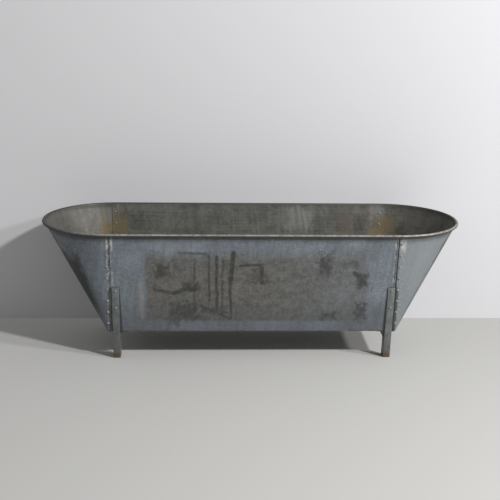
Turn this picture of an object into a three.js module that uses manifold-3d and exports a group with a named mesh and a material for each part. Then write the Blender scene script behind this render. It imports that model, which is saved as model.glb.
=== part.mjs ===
// Galvanised livestock trough: a long sheet-metal tub with a wired rim, sloping sides and two tapering
// round ends, standing on four angle-iron legs with a bearer under each end.
//
// Frame: millimetres, +X along the trough, +Y to the back, +Z up. The origin is on the floor, under the
// middle of the rim. The body is a front sheet and a back sheet, each with a flange turned in at the
// bottom, and a flat bottom sheet that lies on the flanges. Each end is one sheet that changes from a
// half circle at the rim to a straight edge at the bottom, and laps over the body's sheets.

import * as THREE from "three";
import { mergeVertices } from "three/addons/utils/BufferGeometryUtils.js";
import Module from "manifold-3d";

// ---------------------------------------------------------------- driving dimensions

const LENGTH = 1800; // over the rim
const WIDTH = 604; // over the rim
const HEIGHT = 565; // floor to the top of the rim
const SHEET = 1.5; // sheet thickness
const GAP = 0.3; // clearance between pieces that touch

const WIRE_RADIUS = 4.75; // the rod inside the rolled rim
const CURL_END_ANGLE = -120; // degrees, where the rolled edge stops under the wire
const NECK_HEIGHT = 8; // the end sheets step in over this height to meet the rolled rim

const BOTTOM_Z = 123; // underside of the bottom
const BOTTOM_WIDTH = 452; // where the sloping sides meet the bottom
const END_OVERHANG = 290; // how far the rim's end reaches past the bottom edge of the end
const BOTTOM_CORNER_RADIUS = 10; // plan radius of the bottom corners
const FOLD_RADIUS = 6; // bend between the sides and the bottom, outside face
const BOTTOM_FLANGE = 13; // how far the front and back sheets run in under the bottom sheet
const BOTTOM_STEP_SETBACK = 6; // the bottom sheet steps down, inside the end sheets' visible edges

const LAP_EDGE_SETBACK = 1; // an end sheet's visible edge, inside the start of the turn
const RIM_JOINT_LAP = 11; // the body's rolled rim runs on this far past that edge
const LAP_INNER_TOP = 25; // how far the body runs on inside the end sheet, past the turn, at the rim
const LAP_INNER_BOTTOM = 8; // and how far past the bottom edge, where it turns up inside the end sheet

const LEG_WIDTH = 30; // front flange, along X
const LEG_DEPTH = 46; // side flange, square to the front one
const LEG_TOP_Z = 327; // upper end of a leg above the floor
const LEG_THICKNESS = 4;
const LEFT_LEG_INSET = 6; // the left legs stand this much further in from the seam than the right ones
const LEG_TOP_RADIUS = 5; // rounded top corners
const LEG_RIVET_DROPS = [15, 93]; // rivets below the top of the leg

const BEARER_FLANGE = 30;
const BEARER_THICKNESS = 4;
const BEARER_SETBACK = 10; // each end stops this far inside the side of the body

const RIVET_SHANK = 3; // radius
const RIVET_HEAD = 6; // radius of the outer head
const RIVET_HEAD_RISE = 3;
const RIVET_TAIL = 4.5; // radius of the hammered inner head
const RIVET_TAIL_RISE = 2.2;

const SEAM_RIVET_INSET = 10; // from the lap edge to the rivet line
const SEAM_RIVETS = 8; // per seam
const SEAM_RIVET_LOW = 40; // lowest rivet above the bottom
const SEAM_RIVET_HIGH = 42; // highest rivet below the rim

const SOLDER_WIDTH = 1.4;

const CORNER_STEPS = 14; // facets in a quarter turn of the tub
const FOLD_STEPS = 3;
const CURL_STEPS = 8;
const WIRE_SIDES = 10;
const RIVET_SIDES = 8;

// ---------------------------------------------------------------- sizes that follow

const CURL_FACET = THREE.MathUtils.degToRad(180 - CURL_END_ANGLE) / CURL_STEPS;
const CURL_INNER = (WIRE_RADIUS + GAP) / Math.cos(CURL_FACET / 2); // the roll's flats clear the rod
const CURL_OUTER = CURL_INNER + SHEET;
const WIRE_Z = HEIGHT - CURL_OUTER;
const WIRE_PLAN_RADIUS = WIDTH / 2 - CURL_OUTER; // of the wire's half circles
const END_CENTRE_X = (LENGTH - WIDTH) / 2; // centre of the rim's half circle
const BOTTOM_HALF_LENGTH = LENGTH / 2 - END_OVERHANG;
const BOTTOM_CENTRE_X = BOTTOM_HALF_LENGTH - BOTTOM_CORNER_RADIUS;
const BOTTOM_CENTRE_Y = BOTTOM_WIDTH / 2 - BOTTOM_CORNER_RADIUS;
const SIDE_LEAN = wallLean(0, 1); // the sides' slope from upright, in radians
const LAP_EDGE_X = Math.min(BOTTOM_CENTRE_X, END_CENTRE_X) - LAP_EDGE_SETBACK;
const RIM_JOINT_X = LAP_EDGE_X + RIM_JOINT_LAP;
const NECK_Z = HEIGHT - 2 * CURL_OUTER - NECK_HEIGHT;
const LAP_OFFSET = SHEET + GAP; // an end sheet lies this far outside the body sheet
const LAP_TOP = NECK_Z - 2; // where the lap stops, under the rolled rim
const BEARER_TOP = BOTTOM_Z - GAP;
const LEG_FACE = GAP + LEG_THICKNESS; // a leg's outer face stands this far off the body's side
const LEG_INSET = { 1: 0, [-1]: LEFT_LEG_INSET };
const FAR = 2 * LENGTH; // reaches past everything, for cutting blocks

// The four corners, anticlockwise in plan, with the angle in degrees at which each one's turn starts.
const CORNERS = [
  { name: "front_right", sideX: 1, sideY: -1, start: -90 },
  { name: "back_right", sideX: 1, sideY: 1, start: 0 },
  { name: "back_left", sideX: -1, sideY: 1, start: 90 },
  { name: "front_left", sideX: -1, sideY: -1, start: 180 },
];

const wasm = await Module();
wasm.setup();

// ---------------------------------------------------------------- meshes and booleans

// Closed three.js geometry to a manifold solid. Triangles that have collapsed are dropped.
function solid(geometry) {
  const bare = geometry.index ? geometry.toNonIndexed() : geometry.clone();
  bare.deleteAttribute("normal");
  bare.deleteAttribute("uv");
  const merged = mergeVertices(bare, 1e-3);
  const kept = [];
  const index = merged.index.array;
  for (let i = 0; i < index.length; i += 3) {
    const [a, b, c] = [index[i], index[i + 1], index[i + 2]];
    if (a !== b && b !== c && c !== a) kept.push(a, b, c);
  }
  const mesh = new wasm.Mesh({
    numProp: 3,
    vertProperties: merged.attributes.position.array,
    triVerts: new Uint32Array(kept),
  });
  return new wasm.Manifold(mesh);
}

function geometryOf(manifold) {
  const mesh = manifold.getMesh();
  const geometry = new THREE.BufferGeometry();
  geometry.setAttribute("position", new THREE.BufferAttribute(mesh.vertProperties, 3));
  geometry.setIndex(new THREE.BufferAttribute(mesh.triVerts, 1));
  const flat = geometry.toNonIndexed();
  flat.computeVertexNormals();
  return flat;
}

// A block between two corners.
function block(low, high) {
  const size = high.map((value, i) => value - low[i]);
  const box = new THREE.BoxGeometry(...size);
  box.translate(...low.map((value, i) => value + size[i] / 2));
  return box;
}

// Quads between neighbouring rows of points, closing the last row onto the first.
function skin(rows, rowsAreLoops) {
  const triangles = [];
  const across = rowsAreLoops ? rows[0].length : rows[0].length - 1;
  rows.forEach((row, i) => {
    const next = rows[(i + 1) % rows.length];
    for (let j = 0; j < across; j += 1) {
      const k = (j + 1) % row.length;
      triangles.push(row[j], next[k], next[j], row[j], row[k], next[k]);
    }
  });
  return triangles;
}

// The flat part of the bottom, inside the ring where the fold starts: a fan at each corner, a strip along
// each side and one rectangle between the corner centres.
function bottomPlate(ring, facingUp) {
  const cornerOf = (i) => CORNERS[Math.floor(i / (CORNER_STEPS + 1))];
  const centreOf = ({ sideX, sideY }) => {
    return new THREE.Vector3(sideX * BOTTOM_CENTRE_X, sideY * BOTTOM_CENTRE_Y, ring[0].z);
  };
  const triangles = [];
  ring.forEach((point, i) => {
    const next = (i + 1) % ring.length;
    const here = cornerOf(i);
    const there = cornerOf(next);
    triangles.push(centreOf(here), point, ring[next]);
    if (here !== there) triangles.push(centreOf(here), ring[next], centreOf(there));
  });
  const [a, b, c, d] = CORNERS.map(centreOf);
  triangles.push(a, b, c, a, c, d);
  return facingUp ? triangles : triangles.reverse();
}

function geometryFromTriangles(points) {
  return new THREE.BufferGeometry().setFromPoints(points);
}

// ---------------------------------------------------------------- the tub's surface

// The columns that go once round the tub in plan, anticlockwise from the front. Each has the way its
// wall faces, the corner it belongs to, and the lean that makes the wall tangent to the rolled rim.
function tubColumns() {
  const columns = [];
  for (const { sideX, sideY, start } of CORNERS) {
    for (let i = 0; i <= CORNER_STEPS; i += 1) {
      const angle = THREE.MathUtils.degToRad(start + (90 * i) / CORNER_STEPS);
      columns.push(column(sideX, sideY, Math.cos(angle), Math.sin(angle)));
    }
  }
  return columns;
}

function column(sideX, sideY, normalX, normalY) {
  return { sideX, sideY, normalX, normalY, lean: wallLean(normalX, normalY) };
}

// How far the wall that faces a way in plan leans out from upright, so that it is tangent to the roll.
function wallLean(normalX, normalY) {
  const alongX = Math.abs(normalX) * (END_CENTRE_X - BOTTOM_CENTRE_X);
  const reach = alongX - Math.abs(normalY) * BOTTOM_CENTRE_Y - BOTTOM_CORNER_RADIUS;
  let lean = 0;
  for (let pass = 0; pass < 8; pass += 1) {
    lean = Math.atan2(reach + WIRE_PLAN_RADIUS - CURL_INNER / Math.cos(lean), WIRE_Z - BOTTOM_Z);
  }
  return lean;
}

// Centre of a column's corner arc at a height: it moves in a straight line from the bottom to the rim.
function cornerCentre(col, z) {
  const top = WIRE_Z + CURL_INNER * Math.sin(col.lean);
  const share = THREE.MathUtils.clamp((z - BOTTOM_Z) / (top - BOTTOM_Z), 0, 1);
  return new THREE.Vector2(
    col.sideX * THREE.MathUtils.lerp(BOTTOM_CENTRE_X, END_CENTRE_X, share),
    col.sideY * THREE.MathUtils.lerp(BOTTOM_CENTRE_Y, 0, share),
  );
}

// A point of the body sheet's outer face, moved out along the wall's own normal. The place is measured
// from the bottom corner's centre, along the way the wall faces; tilt is 0 on a wall facing sideways and
// a quarter turn on the bottom.
function facePoint(col, distance, z, tilt, offset) {
  const base = cornerCentre(col, BOTTOM_Z);
  const centre = cornerCentre(col, z);
  const moved = (centre.x - base.x) * col.normalX + (centre.y - base.y) * col.normalY;
  const out = distance - moved + offset * Math.cos(tilt);
  return new THREE.Vector3(
    centre.x + out * col.normalX,
    centre.y + out * col.normalY,
    z - offset * Math.sin(tilt),
  );
}

// One face of the tub's wall in a column, from the bottom up to the rolled rim. Offset is how far the
// face lies outside the body sheet's outer face; topOffset is what is left of it at the rim.
function wallFace(col, offset, topOffset) {
  const turn = Math.PI / 2 - col.lean;
  const foldCentre = BOTTOM_CORNER_RADIUS - FOLD_RADIUS * Math.tan(turn / 2);
  const points = [];
  for (let i = 0; i <= FOLD_STEPS; i += 1) {
    const angle = (turn * i) / FOLD_STEPS;
    const distance = foldCentre + FOLD_RADIUS * Math.sin(angle);
    const z = BOTTOM_Z + FOLD_RADIUS * (1 - Math.cos(angle));
    points.push(facePoint(col, distance, z, Math.PI / 2 - angle, offset));
  }
  const distanceAt = (z) => BOTTOM_CORNER_RADIUS + (z - BOTTOM_Z) * Math.tan(col.lean);
  const top = WIRE_Z + CURL_INNER * Math.sin(col.lean);
  points.push(facePoint(col, distanceAt(NECK_Z), NECK_Z, col.lean, offset));
  points.push(facePoint(col, distanceAt(top), top, col.lean, topOffset));
  return points;
}

// Points round the wire in a column, from where the wall meets the roll to the end of the roll.
function curlFace(col, radius) {
  const start = Math.PI - col.lean;
  const end = THREE.MathUtils.degToRad(CURL_END_ANGLE);
  const points = [];
  for (let i = 1; i <= CURL_STEPS; i += 1) {
    const angle = THREE.MathUtils.lerp(start, end, i / CURL_STEPS);
    const out = WIRE_PLAN_RADIUS + radius * Math.cos(angle);
    points.push(
      new THREE.Vector3(
        col.sideX * END_CENTRE_X + out * col.normalX,
        out * col.normalY,
        WIRE_Z + radius * Math.sin(angle),
      ),
    );
  }
  return points;
}

// A whole tub of sheet metal with its rolled rim, its outer face lying offset outside the body sheet's.
function tub(offset) {
  const rows = tubColumns().map((col) => [
    ...wallFace(col, offset - SHEET, -SHEET),
    ...curlFace(col, CURL_OUTER),
    ...curlFace(col, CURL_INNER).reverse(),
    ...wallFace(col, offset, 0).reverse(),
  ]);
  const inside = rows.map((row) => row[0]);
  const outside = rows.map((row) => row[row.length - 1]);
  const plates = [...bottomPlate(inside, true), ...bottomPlate(outside, false)];
  const triangles = [...skin(rows, false), ...plates];
  const made = solid(geometryFromTriangles(triangles));
  return made.volume() > 0 ? made : solid(geometryFromTriangles(triangles.reverse()));
}

// ---------------------------------------------------------------- sheets

// Everything beyond the body's slanting edge inside an end sheet (side is 1 or -1).
function beyondInnerLap(side) {
  const low = BOTTOM_HALF_LENGTH + LAP_INNER_BOTTOM;
  const high = END_CENTRE_X + LAP_INNER_TOP;
  const slope = (high - low) / (WIRE_Z - BOTTOM_Z);
  const shape = new THREE.Shape();
  shape.moveTo(low - slope * BOTTOM_Z, 0);
  shape.lineTo(FAR, 0);
  shape.lineTo(FAR, HEIGHT);
  shape.lineTo(low + slope * (HEIGHT - BOTTOM_Z), HEIGHT);
  const prism = new THREE.ExtrudeGeometry(shape, { depth: FAR, bevelEnabled: false });
  prism.rotateX(Math.PI / 2);
  prism.translate(0, FAR / 2, 0);
  if (side < 0) prism.rotateZ(Math.PI);
  return solid(prism);
}

// A cutting block at one end, from an X outwards and between two heights.
function endBlock(side, fromX, toX, low, high) {
  const geometry = block([fromX, -FAR / 2, low], [toX, FAR / 2, high]);
  if (side < 0) geometry.rotateZ(Math.PI);
  return solid(geometry);
}

// The whole body as if it were one sheet, between its slanting edges inside the end sheets.
function body() {
  let sheet = tub(0);
  for (const side of [1, -1]) {
    sheet = sheet.subtract(beyondInnerLap(side));
    sheet = sheet.subtract(endBlock(side, RIM_JOINT_X, FAR, LAP_TOP, FAR));
  }
  return sheet;
}

// The front sheet (sideY is -1) or the back one: the side, its rolled rim and its flange.
function sideSheet(sideY, holes) {
  const flangeEdge = BOTTOM_WIDTH / 2 - BOTTOM_FLANGE;
  const half = block([-FAR, flangeEdge, -FAR], [FAR, FAR, FAR]);
  if (sideY < 0) half.rotateZ(Math.PI);
  let sheet = body().intersect(solid(half));
  for (const hole of holes) sheet = sheet.subtract(hole);
  return sheet;
}

// The bottom sheet: flat on the flanges, with a step down at each end that brings it between them and
// up inside the end sheet.
function bottomSheet() {
  const halfWidth = BOTTOM_WIDTH / 2 - FOLD_RADIUS;
  const lowHalfWidth = BOTTOM_WIDTH / 2 - BOTTOM_FLANGE - GAP;
  const stepX = LAP_EDGE_X - BOTTOM_STEP_SETBACK;
  const top = BOTTOM_Z + LAP_OFFSET + SHEET;
  let sheet = solid(block([-stepX, -halfWidth, top - SHEET], [stepX, halfWidth, top]));
  const between = solid(block([-FAR, -lowHalfWidth, -FAR], [FAR, lowHalfWidth, NECK_Z]));
  const lowered = body().intersect(between);
  for (const side of [1, -1]) {
    sheet = sheet.add(lowered.intersect(endBlock(side, stepX - SHEET, FAR, -FAR, FAR)));
    const riser = block([stepX - SHEET, -lowHalfWidth, BOTTOM_Z], [stepX, lowHalfWidth, top]);
    if (side < 0) riser.rotateZ(Math.PI);
    sheet = sheet.add(solid(riser));
  }
  return sheet;
}

function endSheet(side, holes) {
  let sheet = tub(LAP_OFFSET).intersect(endBlock(side, LAP_EDGE_X, FAR, -FAR, FAR));
  sheet = sheet.subtract(endBlock(side, 0, RIM_JOINT_X + GAP, LAP_TOP, FAR));
  for (const hole of holes) sheet = sheet.subtract(hole);
  return sheet;
}

// The rod that the rim is rolled round: a closed loop in the shape of the rim.
function rimWire() {
  const rows = tubColumns().map((col) => {
    const ring = [];
    for (let i = 0; i < WIRE_SIDES; i += 1) {
      const angle = (2 * Math.PI * i) / WIRE_SIDES;
      const out = WIRE_PLAN_RADIUS + WIRE_RADIUS * Math.cos(angle);
      const x = col.sideX * END_CENTRE_X + out * col.normalX;
      ring.push(new THREE.Vector3(x, out * col.normalY, WIRE_Z + WIRE_RADIUS * Math.sin(angle)));
    }
    return ring;
  });
  const triangles = skin(rows, true);
  const made = solid(geometryFromTriangles(triangles));
  return made.volume() > 0 ? made : solid(geometryFromTriangles(triangles.reverse()));
}

// ---------------------------------------------------------------- legs, bearers and solder

// A place on the front side's outer face: how far along X, up the slope from the floor's level, and out
// from the face.
function onFrontSide(x, up, out) {
  const foot = BOTTOM_WIDTH / 2 - BOTTOM_Z * Math.tan(SIDE_LEAN);
  return new THREE.Vector3(
    x,
    -foot - up * Math.sin(SIDE_LEAN) - out * Math.cos(SIDE_LEAN),
    up * Math.cos(SIDE_LEAN) - out * Math.sin(SIDE_LEAN),
  );
}

// Lays a geometry drawn against an upright side, outer face at Y = 0, on the sloping front side.
function leanOnFrontSide(geometry) {
  geometry.rotateX(SIDE_LEAN);
  geometry.translate(...onFrontSide(0, 0, 0).toArray());
  return geometry;
}

function legMiddleX(sideX) {
  return LAP_EDGE_X - 2 * GAP - SOLDER_WIDTH - LEG_WIDTH / 2 - LEG_INSET[sideX];
}

// A front leg on the right, or on the left before it is mirrored: a flange up the outside of the tub,
// and a deeper flange that stops under the bottom and carries it. The foot is cut level.
function leg(middleX, holes) {
  const half = LEG_WIDTH / 2;
  const top = LEG_TOP_Z / Math.cos(SIDE_LEAN);
  const face = new THREE.Shape();
  face.moveTo(-half, -LEG_DEPTH);
  face.lineTo(half, -LEG_DEPTH);
  face.lineTo(half, top - LEG_TOP_RADIUS);
  face.absarc(half - LEG_TOP_RADIUS, top - LEG_TOP_RADIUS, LEG_TOP_RADIUS, 0, Math.PI / 2);
  face.absarc(LEG_TOP_RADIUS - half, top - LEG_TOP_RADIUS, LEG_TOP_RADIUS, Math.PI / 2, Math.PI);
  const settings = { depth: LEG_THICKNESS, bevelEnabled: false, curveSegments: 4 };
  const front = new THREE.ExtrudeGeometry(face, settings);
  front.rotateX(Math.PI / 2);
  front.translate(middleX, -GAP, 0);
  const side = block(
    [middleX - half, -LEG_FACE, -LEG_DEPTH],
    [middleX - half + LEG_THICKNESS, LEG_DEPTH - LEG_FACE, BOTTOM_Z + LEG_DEPTH],
  );
  const underBottom = solid(block([-FAR, -FAR, -FAR], [FAR, FAR, BEARER_TOP]));
  let made = solid(leanOnFrontSide(front)).add(solid(leanOnFrontSide(side)).intersect(underBottom));
  made = made.subtract(solid(block([-FAR, -FAR, -FAR], [FAR, FAR, 0])));
  for (const hole of holes) made = made.subtract(hole);
  return made;
}

// A bearer under the right end, or under the left before it is mirrored: an angle with one flange under
// the bottom and one hanging down against the legs.
function bearer(outerX, holes) {
  const shape = new THREE.Shape();
  shape.moveTo(outerX, BEARER_TOP);
  shape.lineTo(outerX - BEARER_FLANGE, BEARER_TOP);
  shape.lineTo(outerX - BEARER_FLANGE, BEARER_TOP - BEARER_THICKNESS);
  shape.lineTo(outerX - BEARER_THICKNESS, BEARER_TOP - BEARER_THICKNESS);
  shape.lineTo(outerX - BEARER_THICKNESS, BEARER_TOP - BEARER_FLANGE);
  shape.lineTo(outerX, BEARER_TOP - BEARER_FLANGE);
  const reach = BOTTOM_WIDTH / 2 - BEARER_SETBACK;
  const bar = new THREE.ExtrudeGeometry(shape, { depth: 2 * reach, bevelEnabled: false });
  bar.rotateX(Math.PI / 2);
  bar.translate(0, reach, 0);
  let made = solid(bar);
  for (const hole of holes) made = made.subtract(hole);
  return made;
}

// The outline of the body's section at a distance outside its outer face, from the neck on one side
// round the bottom to the neck on the other, added to a path. Direction is 1 from left to right.
function followBody(path, distance, direction) {
  const turn = Math.PI / 2 - SIDE_LEAN;
  const radius = FOLD_RADIUS + distance;
  const centreY = direction * (BOTTOM_WIDTH / 2 - FOLD_RADIUS * Math.tan(turn / 2));
  const centreZ = BOTTOM_Z + FOLD_RADIUS;
  const sideAngle = direction > 0 ? -SIDE_LEAN : -Math.PI + SIDE_LEAN;
  const topZ = NECK_Z - distance * Math.sin(SIDE_LEAN);
  const faceY = BOTTOM_WIDTH / 2 + (NECK_Z - BOTTOM_Z) * Math.tan(SIDE_LEAN);
  const topY = direction * (faceY + distance * Math.cos(SIDE_LEAN));
  const clockwise = direction < 0;
  if (clockwise) path.lineTo(-topY, topZ);
  else path.moveTo(-topY, topZ);
  path.absarc(-centreY, centreZ, radius, -Math.PI - sideAngle, -Math.PI / 2, clockwise);
  path.absarc(centreY, centreZ, radius, -Math.PI / 2, sideAngle, clockwise);
  path.lineTo(topY, topZ);
}

// The run of solder along the edge of the right end sheet, up both sides and under the bottom.
function seamSolder() {
  const shape = new THREE.Shape();
  followBody(shape, SHEET, 1);
  followBody(shape, GAP, -1);
  const settings = { depth: SOLDER_WIDTH, bevelEnabled: false, curveSegments: 4 };
  const run = new THREE.ExtrudeGeometry(shape, settings);
  run.rotateX(Math.PI / 2);
  run.rotateZ(Math.PI / 2);
  run.translate(LAP_EDGE_X - GAP - SOLDER_WIDTH, 0, 0);
  return solid(run);
}

// ---------------------------------------------------------------- rivets

// A rivet along +Y of its own frame, its outer head's seat at the origin and its shank running back
// through a stack of the given thickness.
function rivetGeometry(grip) {
  const profile = [
    new THREE.Vector2(0, -grip - GAP - RIVET_TAIL_RISE),
    new THREE.Vector2(RIVET_TAIL * 0.7, -grip - GAP - RIVET_TAIL_RISE * 0.7),
    new THREE.Vector2(RIVET_TAIL, -grip - GAP),
    new THREE.Vector2(RIVET_SHANK, -grip - GAP),
    new THREE.Vector2(RIVET_SHANK, GAP),
    new THREE.Vector2(RIVET_HEAD, GAP),
    new THREE.Vector2(RIVET_HEAD * 0.7, GAP + RIVET_HEAD_RISE * 0.7),
    new THREE.Vector2(0, GAP + RIVET_HEAD_RISE),
  ];
  return new THREE.LatheGeometry(profile, RIVET_SIDES);
}

// A rivet's seat: the point on the outer face that its head rests on, the way it faces and its grip.
function seat(name, position, direction, grip) {
  return { name, position, direction: direction.clone().normalize(), grip };
}

function turnTo(seatAt) {
  return new THREE.Quaternion().setFromUnitVectors(new THREE.Vector3(0, 1, 0), seatAt.direction);
}

// The hole that a rivet goes through, with clearance round the shank.
function rivetHole(seatAt) {
  const reach = seatAt.grip + 4 * RIVET_HEAD_RISE;
  const drill = new THREE.CylinderGeometry(RIVET_SHANK + GAP, RIVET_SHANK + GAP, reach, RIVET_SIDES);
  drill.translate(0, -seatAt.grip / 2, 0);
  drill.applyQuaternion(turnTo(seatAt));
  drill.translate(...seatAt.position.toArray());
  return solid(drill);
}

// Seats down the lap of one corner, each on the facet of the end sheet's outer face that it falls on.
function seamSeats({ name, sideX, sideY }) {
  const low = BOTTOM_Z + SEAM_RIVET_LOW;
  const high = HEIGHT - SEAM_RIVET_HIGH;
  const facetAngle = Math.PI / 2 / CORNER_STEPS;
  const grip = LAP_OFFSET + SHEET + RIVET_TAIL * Math.tan(facetAngle); // the wall bends in behind the tail
  const x = LAP_EDGE_X + SEAM_RIVET_INSET;
  const seats = [];
  for (let i = 0; i < SEAM_RIVETS; i += 1) {
    const z = THREE.MathUtils.lerp(low, high, i / (SEAM_RIVETS - 1));
    const share = (z - BOTTOM_Z) / (WIRE_Z - BOTTOM_Z);
    const topRadius = WIRE_PLAN_RADIUS - CURL_INNER;
    const radius = THREE.MathUtils.lerp(BOTTOM_CORNER_RADIUS, topRadius, share);
    const along = x - THREE.MathUtils.lerp(BOTTOM_CENTRE_X, END_CENTRE_X, share);
    const turned = along > 0;
    const turn = turned ? (Math.floor(Math.asin(along / radius) / facetAngle) + 0.5) * facetAngle : 0;
    const facetDistance = turned ? radius * Math.cos(facetAngle / 2) : radius;
    const across = (facetDistance - along * Math.sin(turn)) / Math.cos(turn);
    const { lean } = column(sideX, sideY, Math.sin(turn), Math.cos(turn));
    const direction = new THREE.Vector3(
      sideX * Math.sin(turn) * Math.cos(lean),
      sideY * Math.cos(turn) * Math.cos(lean),
      -Math.sin(lean),
    );
    const centreY = THREE.MathUtils.lerp(BOTTOM_CENTRE_Y, 0, share);
    const position = new THREE.Vector3(sideX * x, sideY * (centreY + across), z);
    position.addScaledVector(direction, LAP_OFFSET);
    seats.push(seat(`${name}_seam_rivet_${i + 1}`, position, direction, grip));
  }
  return seats;
}

// Seats on one leg's front flange, through the flange and the body sheet.
function legSeats({ name, sideX, sideY }) {
  const facing = new THREE.Vector3(0, sideY * Math.cos(SIDE_LEAN), -Math.sin(SIDE_LEAN));
  return LEG_RIVET_DROPS.map((drop, i) => {
    const position = onFrontSide(legMiddleX(sideX), LEG_TOP_Z / Math.cos(SIDE_LEAN) - drop, LEG_FACE);
    position.multiply(new THREE.Vector3(sideX, -sideY, 1));
    return seat(`${name}_leg_rivet_${i + 1}`, position, facing, LEG_FACE + SHEET);
  });
}

// The seat that joins a leg's side flange to its bearer, facing the end of the trough.
function bearerSeat({ name, sideX, sideY }) {
  const z = BEARER_TOP - (BEARER_THICKNESS + BEARER_FLANGE) / 2;
  const flangeInner = -onFrontSide(0, z / Math.cos(SIDE_LEAN), LEG_FACE - LEG_DEPTH).y;
  const y = (BOTTOM_WIDTH / 2 - BEARER_SETBACK + flangeInner) / 2;
  const x = legMiddleX(sideX) - LEG_WIDTH / 2 + LEG_THICKNESS;
  const grip = LEG_THICKNESS + GAP + BEARER_THICKNESS;
  const position = new THREE.Vector3(sideX * x, sideY * y, z);
  return seat(`${name}_bearer_rivet`, position, new THREE.Vector3(sideX, 0, 0), grip);
}

// ---------------------------------------------------------------- finishes

const finish = (color, roughness, metalness) =>
  new THREE.MeshStandardMaterial({ color, roughness, metalness });
const galvanisedSheet = finish(0x6f767c, 0.5, 0.7);
const galvanisedIron = finish(0x717a78, 0.55, 0.7);
const wireIron = finish(0x5a5550, 0.6, 0.8);
const rivetIron = finish(0x858b8c, 0.45, 0.8);
const leadSolder = finish(0x9a9c98, 0.5, 0.7);

// ---------------------------------------------------------------- assembly

const trough = new THREE.Group();

function place(name, geometry, material) {
  const mesh = new THREE.Mesh(geometry, material);
  mesh.name = name;
  trough.add(mesh);
  return mesh;
}

// A piece drawn at the front right corner, mirrored to another one.
function placeMirrored(name, manifold, material, sideX, sideY) {
  const mirrored = manifold.transform([sideX, 0, 0, 0, 0, -sideY, 0, 0, 0, 0, 1, 0, 0, 0, 0, 1]);
  return place(name, geometryOf(mirrored), material);
}

const allSeamSeats = CORNERS.flatMap(seamSeats);
const allLegSeats = CORNERS.flatMap(legSeats);
const seamHoles = allSeamSeats.map(rivetHole);
const nearEnd = (side) => seamHoles.filter((_, i) => allSeamSeats[i].position.x * side > 0);
const sheetSeats = [...allSeamSeats, ...allLegSeats];
const nearSide = (side) => sheetSeats.filter((one) => one.position.y * side > 0).map(rivetHole);

place("front_sheet", geometryOf(sideSheet(-1, nearSide(-1))), galvanisedSheet);
place("back_sheet", geometryOf(sideSheet(1, nearSide(1))), galvanisedSheet);
place("bottom_sheet", geometryOf(bottomSheet()), galvanisedSheet);
place("left_end_sheet", geometryOf(endSheet(-1, nearEnd(-1))), galvanisedSheet);
place("right_end_sheet", geometryOf(endSheet(1, nearEnd(1))), galvanisedSheet);
place("rim_wire", geometryOf(rimWire()), wireIron);

for (const corner of CORNERS) {
  // The holes of this leg, as if it stood at the front on the right.
  const unmirror = [corner.sideX, 0, 0, 0, 0, -corner.sideY, 0, 0, 0, 0, 1, 0, 0, 0, 0, 1];
  const seats = [...legSeats(corner), bearerSeat(corner)];
  const holes = seats.map((one) => rivetHole(one).transform(unmirror));
  const made = leg(legMiddleX(corner.sideX), holes);
  placeMirrored(`${corner.name}_leg`, made, galvanisedIron, corner.sideX, corner.sideY);
}

for (const [name, sideX] of [["left_bearer", -1], ["right_bearer", 1]]) {
  const ends = CORNERS.filter((corner) => corner.sideX === sideX);
  const unmirror = [sideX, 0, 0, 0, 0, 1, 0, 0, 0, 0, 1, 0, 0, 0, 0, 1];
  const holes = ends.map((corner) => rivetHole(bearerSeat(corner)).transform(unmirror));
  const made = bearer(legMiddleX(sideX) - LEG_WIDTH / 2 - GAP, holes);
  placeMirrored(name, made, galvanisedIron, sideX, -1);
}

placeMirrored("left_seam_solder", seamSolder(), leadSolder, -1, -1);
placeMirrored("right_seam_solder", seamSolder(), leadSolder, 1, -1);

for (const rivetSeat of [...allSeamSeats, ...allLegSeats, ...CORNERS.map(bearerSeat)]) {
  const rivet = place(rivetSeat.name, rivetGeometry(rivetSeat.grip), rivetIron);
  rivet.position.copy(rivetSeat.position);
  rivet.quaternion.copy(turnTo(rivetSeat));
}

export default trough;
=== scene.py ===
"""Looks of a galvanised livestock trough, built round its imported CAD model.

Metres, +X along the trough, +Y to the back, +Z up, the floor at Z = 0. The tub's sheets are cut from one
smooth form, thickened and aged with procedural finishes; legs, bearers, rivets and solder runs are shaped
piece by piece and stand for the CAD nodes of the same names.
"""

import logging
import math
from collections.abc import Iterable, Sequence
from dataclasses import dataclass
from enum import Enum

import bmesh
import bpy
from mathutils import Matrix, Vector, noise


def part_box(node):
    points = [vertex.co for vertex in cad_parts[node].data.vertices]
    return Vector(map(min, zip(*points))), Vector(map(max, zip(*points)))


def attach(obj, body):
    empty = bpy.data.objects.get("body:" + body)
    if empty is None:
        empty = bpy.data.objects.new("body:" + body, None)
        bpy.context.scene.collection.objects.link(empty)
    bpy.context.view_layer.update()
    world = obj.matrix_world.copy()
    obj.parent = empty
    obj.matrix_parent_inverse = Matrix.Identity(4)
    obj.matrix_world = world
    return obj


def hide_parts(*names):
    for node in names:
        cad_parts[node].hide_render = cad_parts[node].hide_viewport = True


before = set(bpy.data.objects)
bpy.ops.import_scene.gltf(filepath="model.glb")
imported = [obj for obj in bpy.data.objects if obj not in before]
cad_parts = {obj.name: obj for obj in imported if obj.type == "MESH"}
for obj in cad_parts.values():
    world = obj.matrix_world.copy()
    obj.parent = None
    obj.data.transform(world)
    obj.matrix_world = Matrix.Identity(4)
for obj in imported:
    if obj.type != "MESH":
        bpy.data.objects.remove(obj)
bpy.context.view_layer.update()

log = logging.getLogger("trough")

NEAR = 1e-6
CLOSE = 1e-5

CORNERS = {"front_left": (-1, -1), "front_right": (1, -1), "back_left": (-1, 1), "back_right": (1, 1)}


# ---------------------------------------------------------------- meshes


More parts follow.
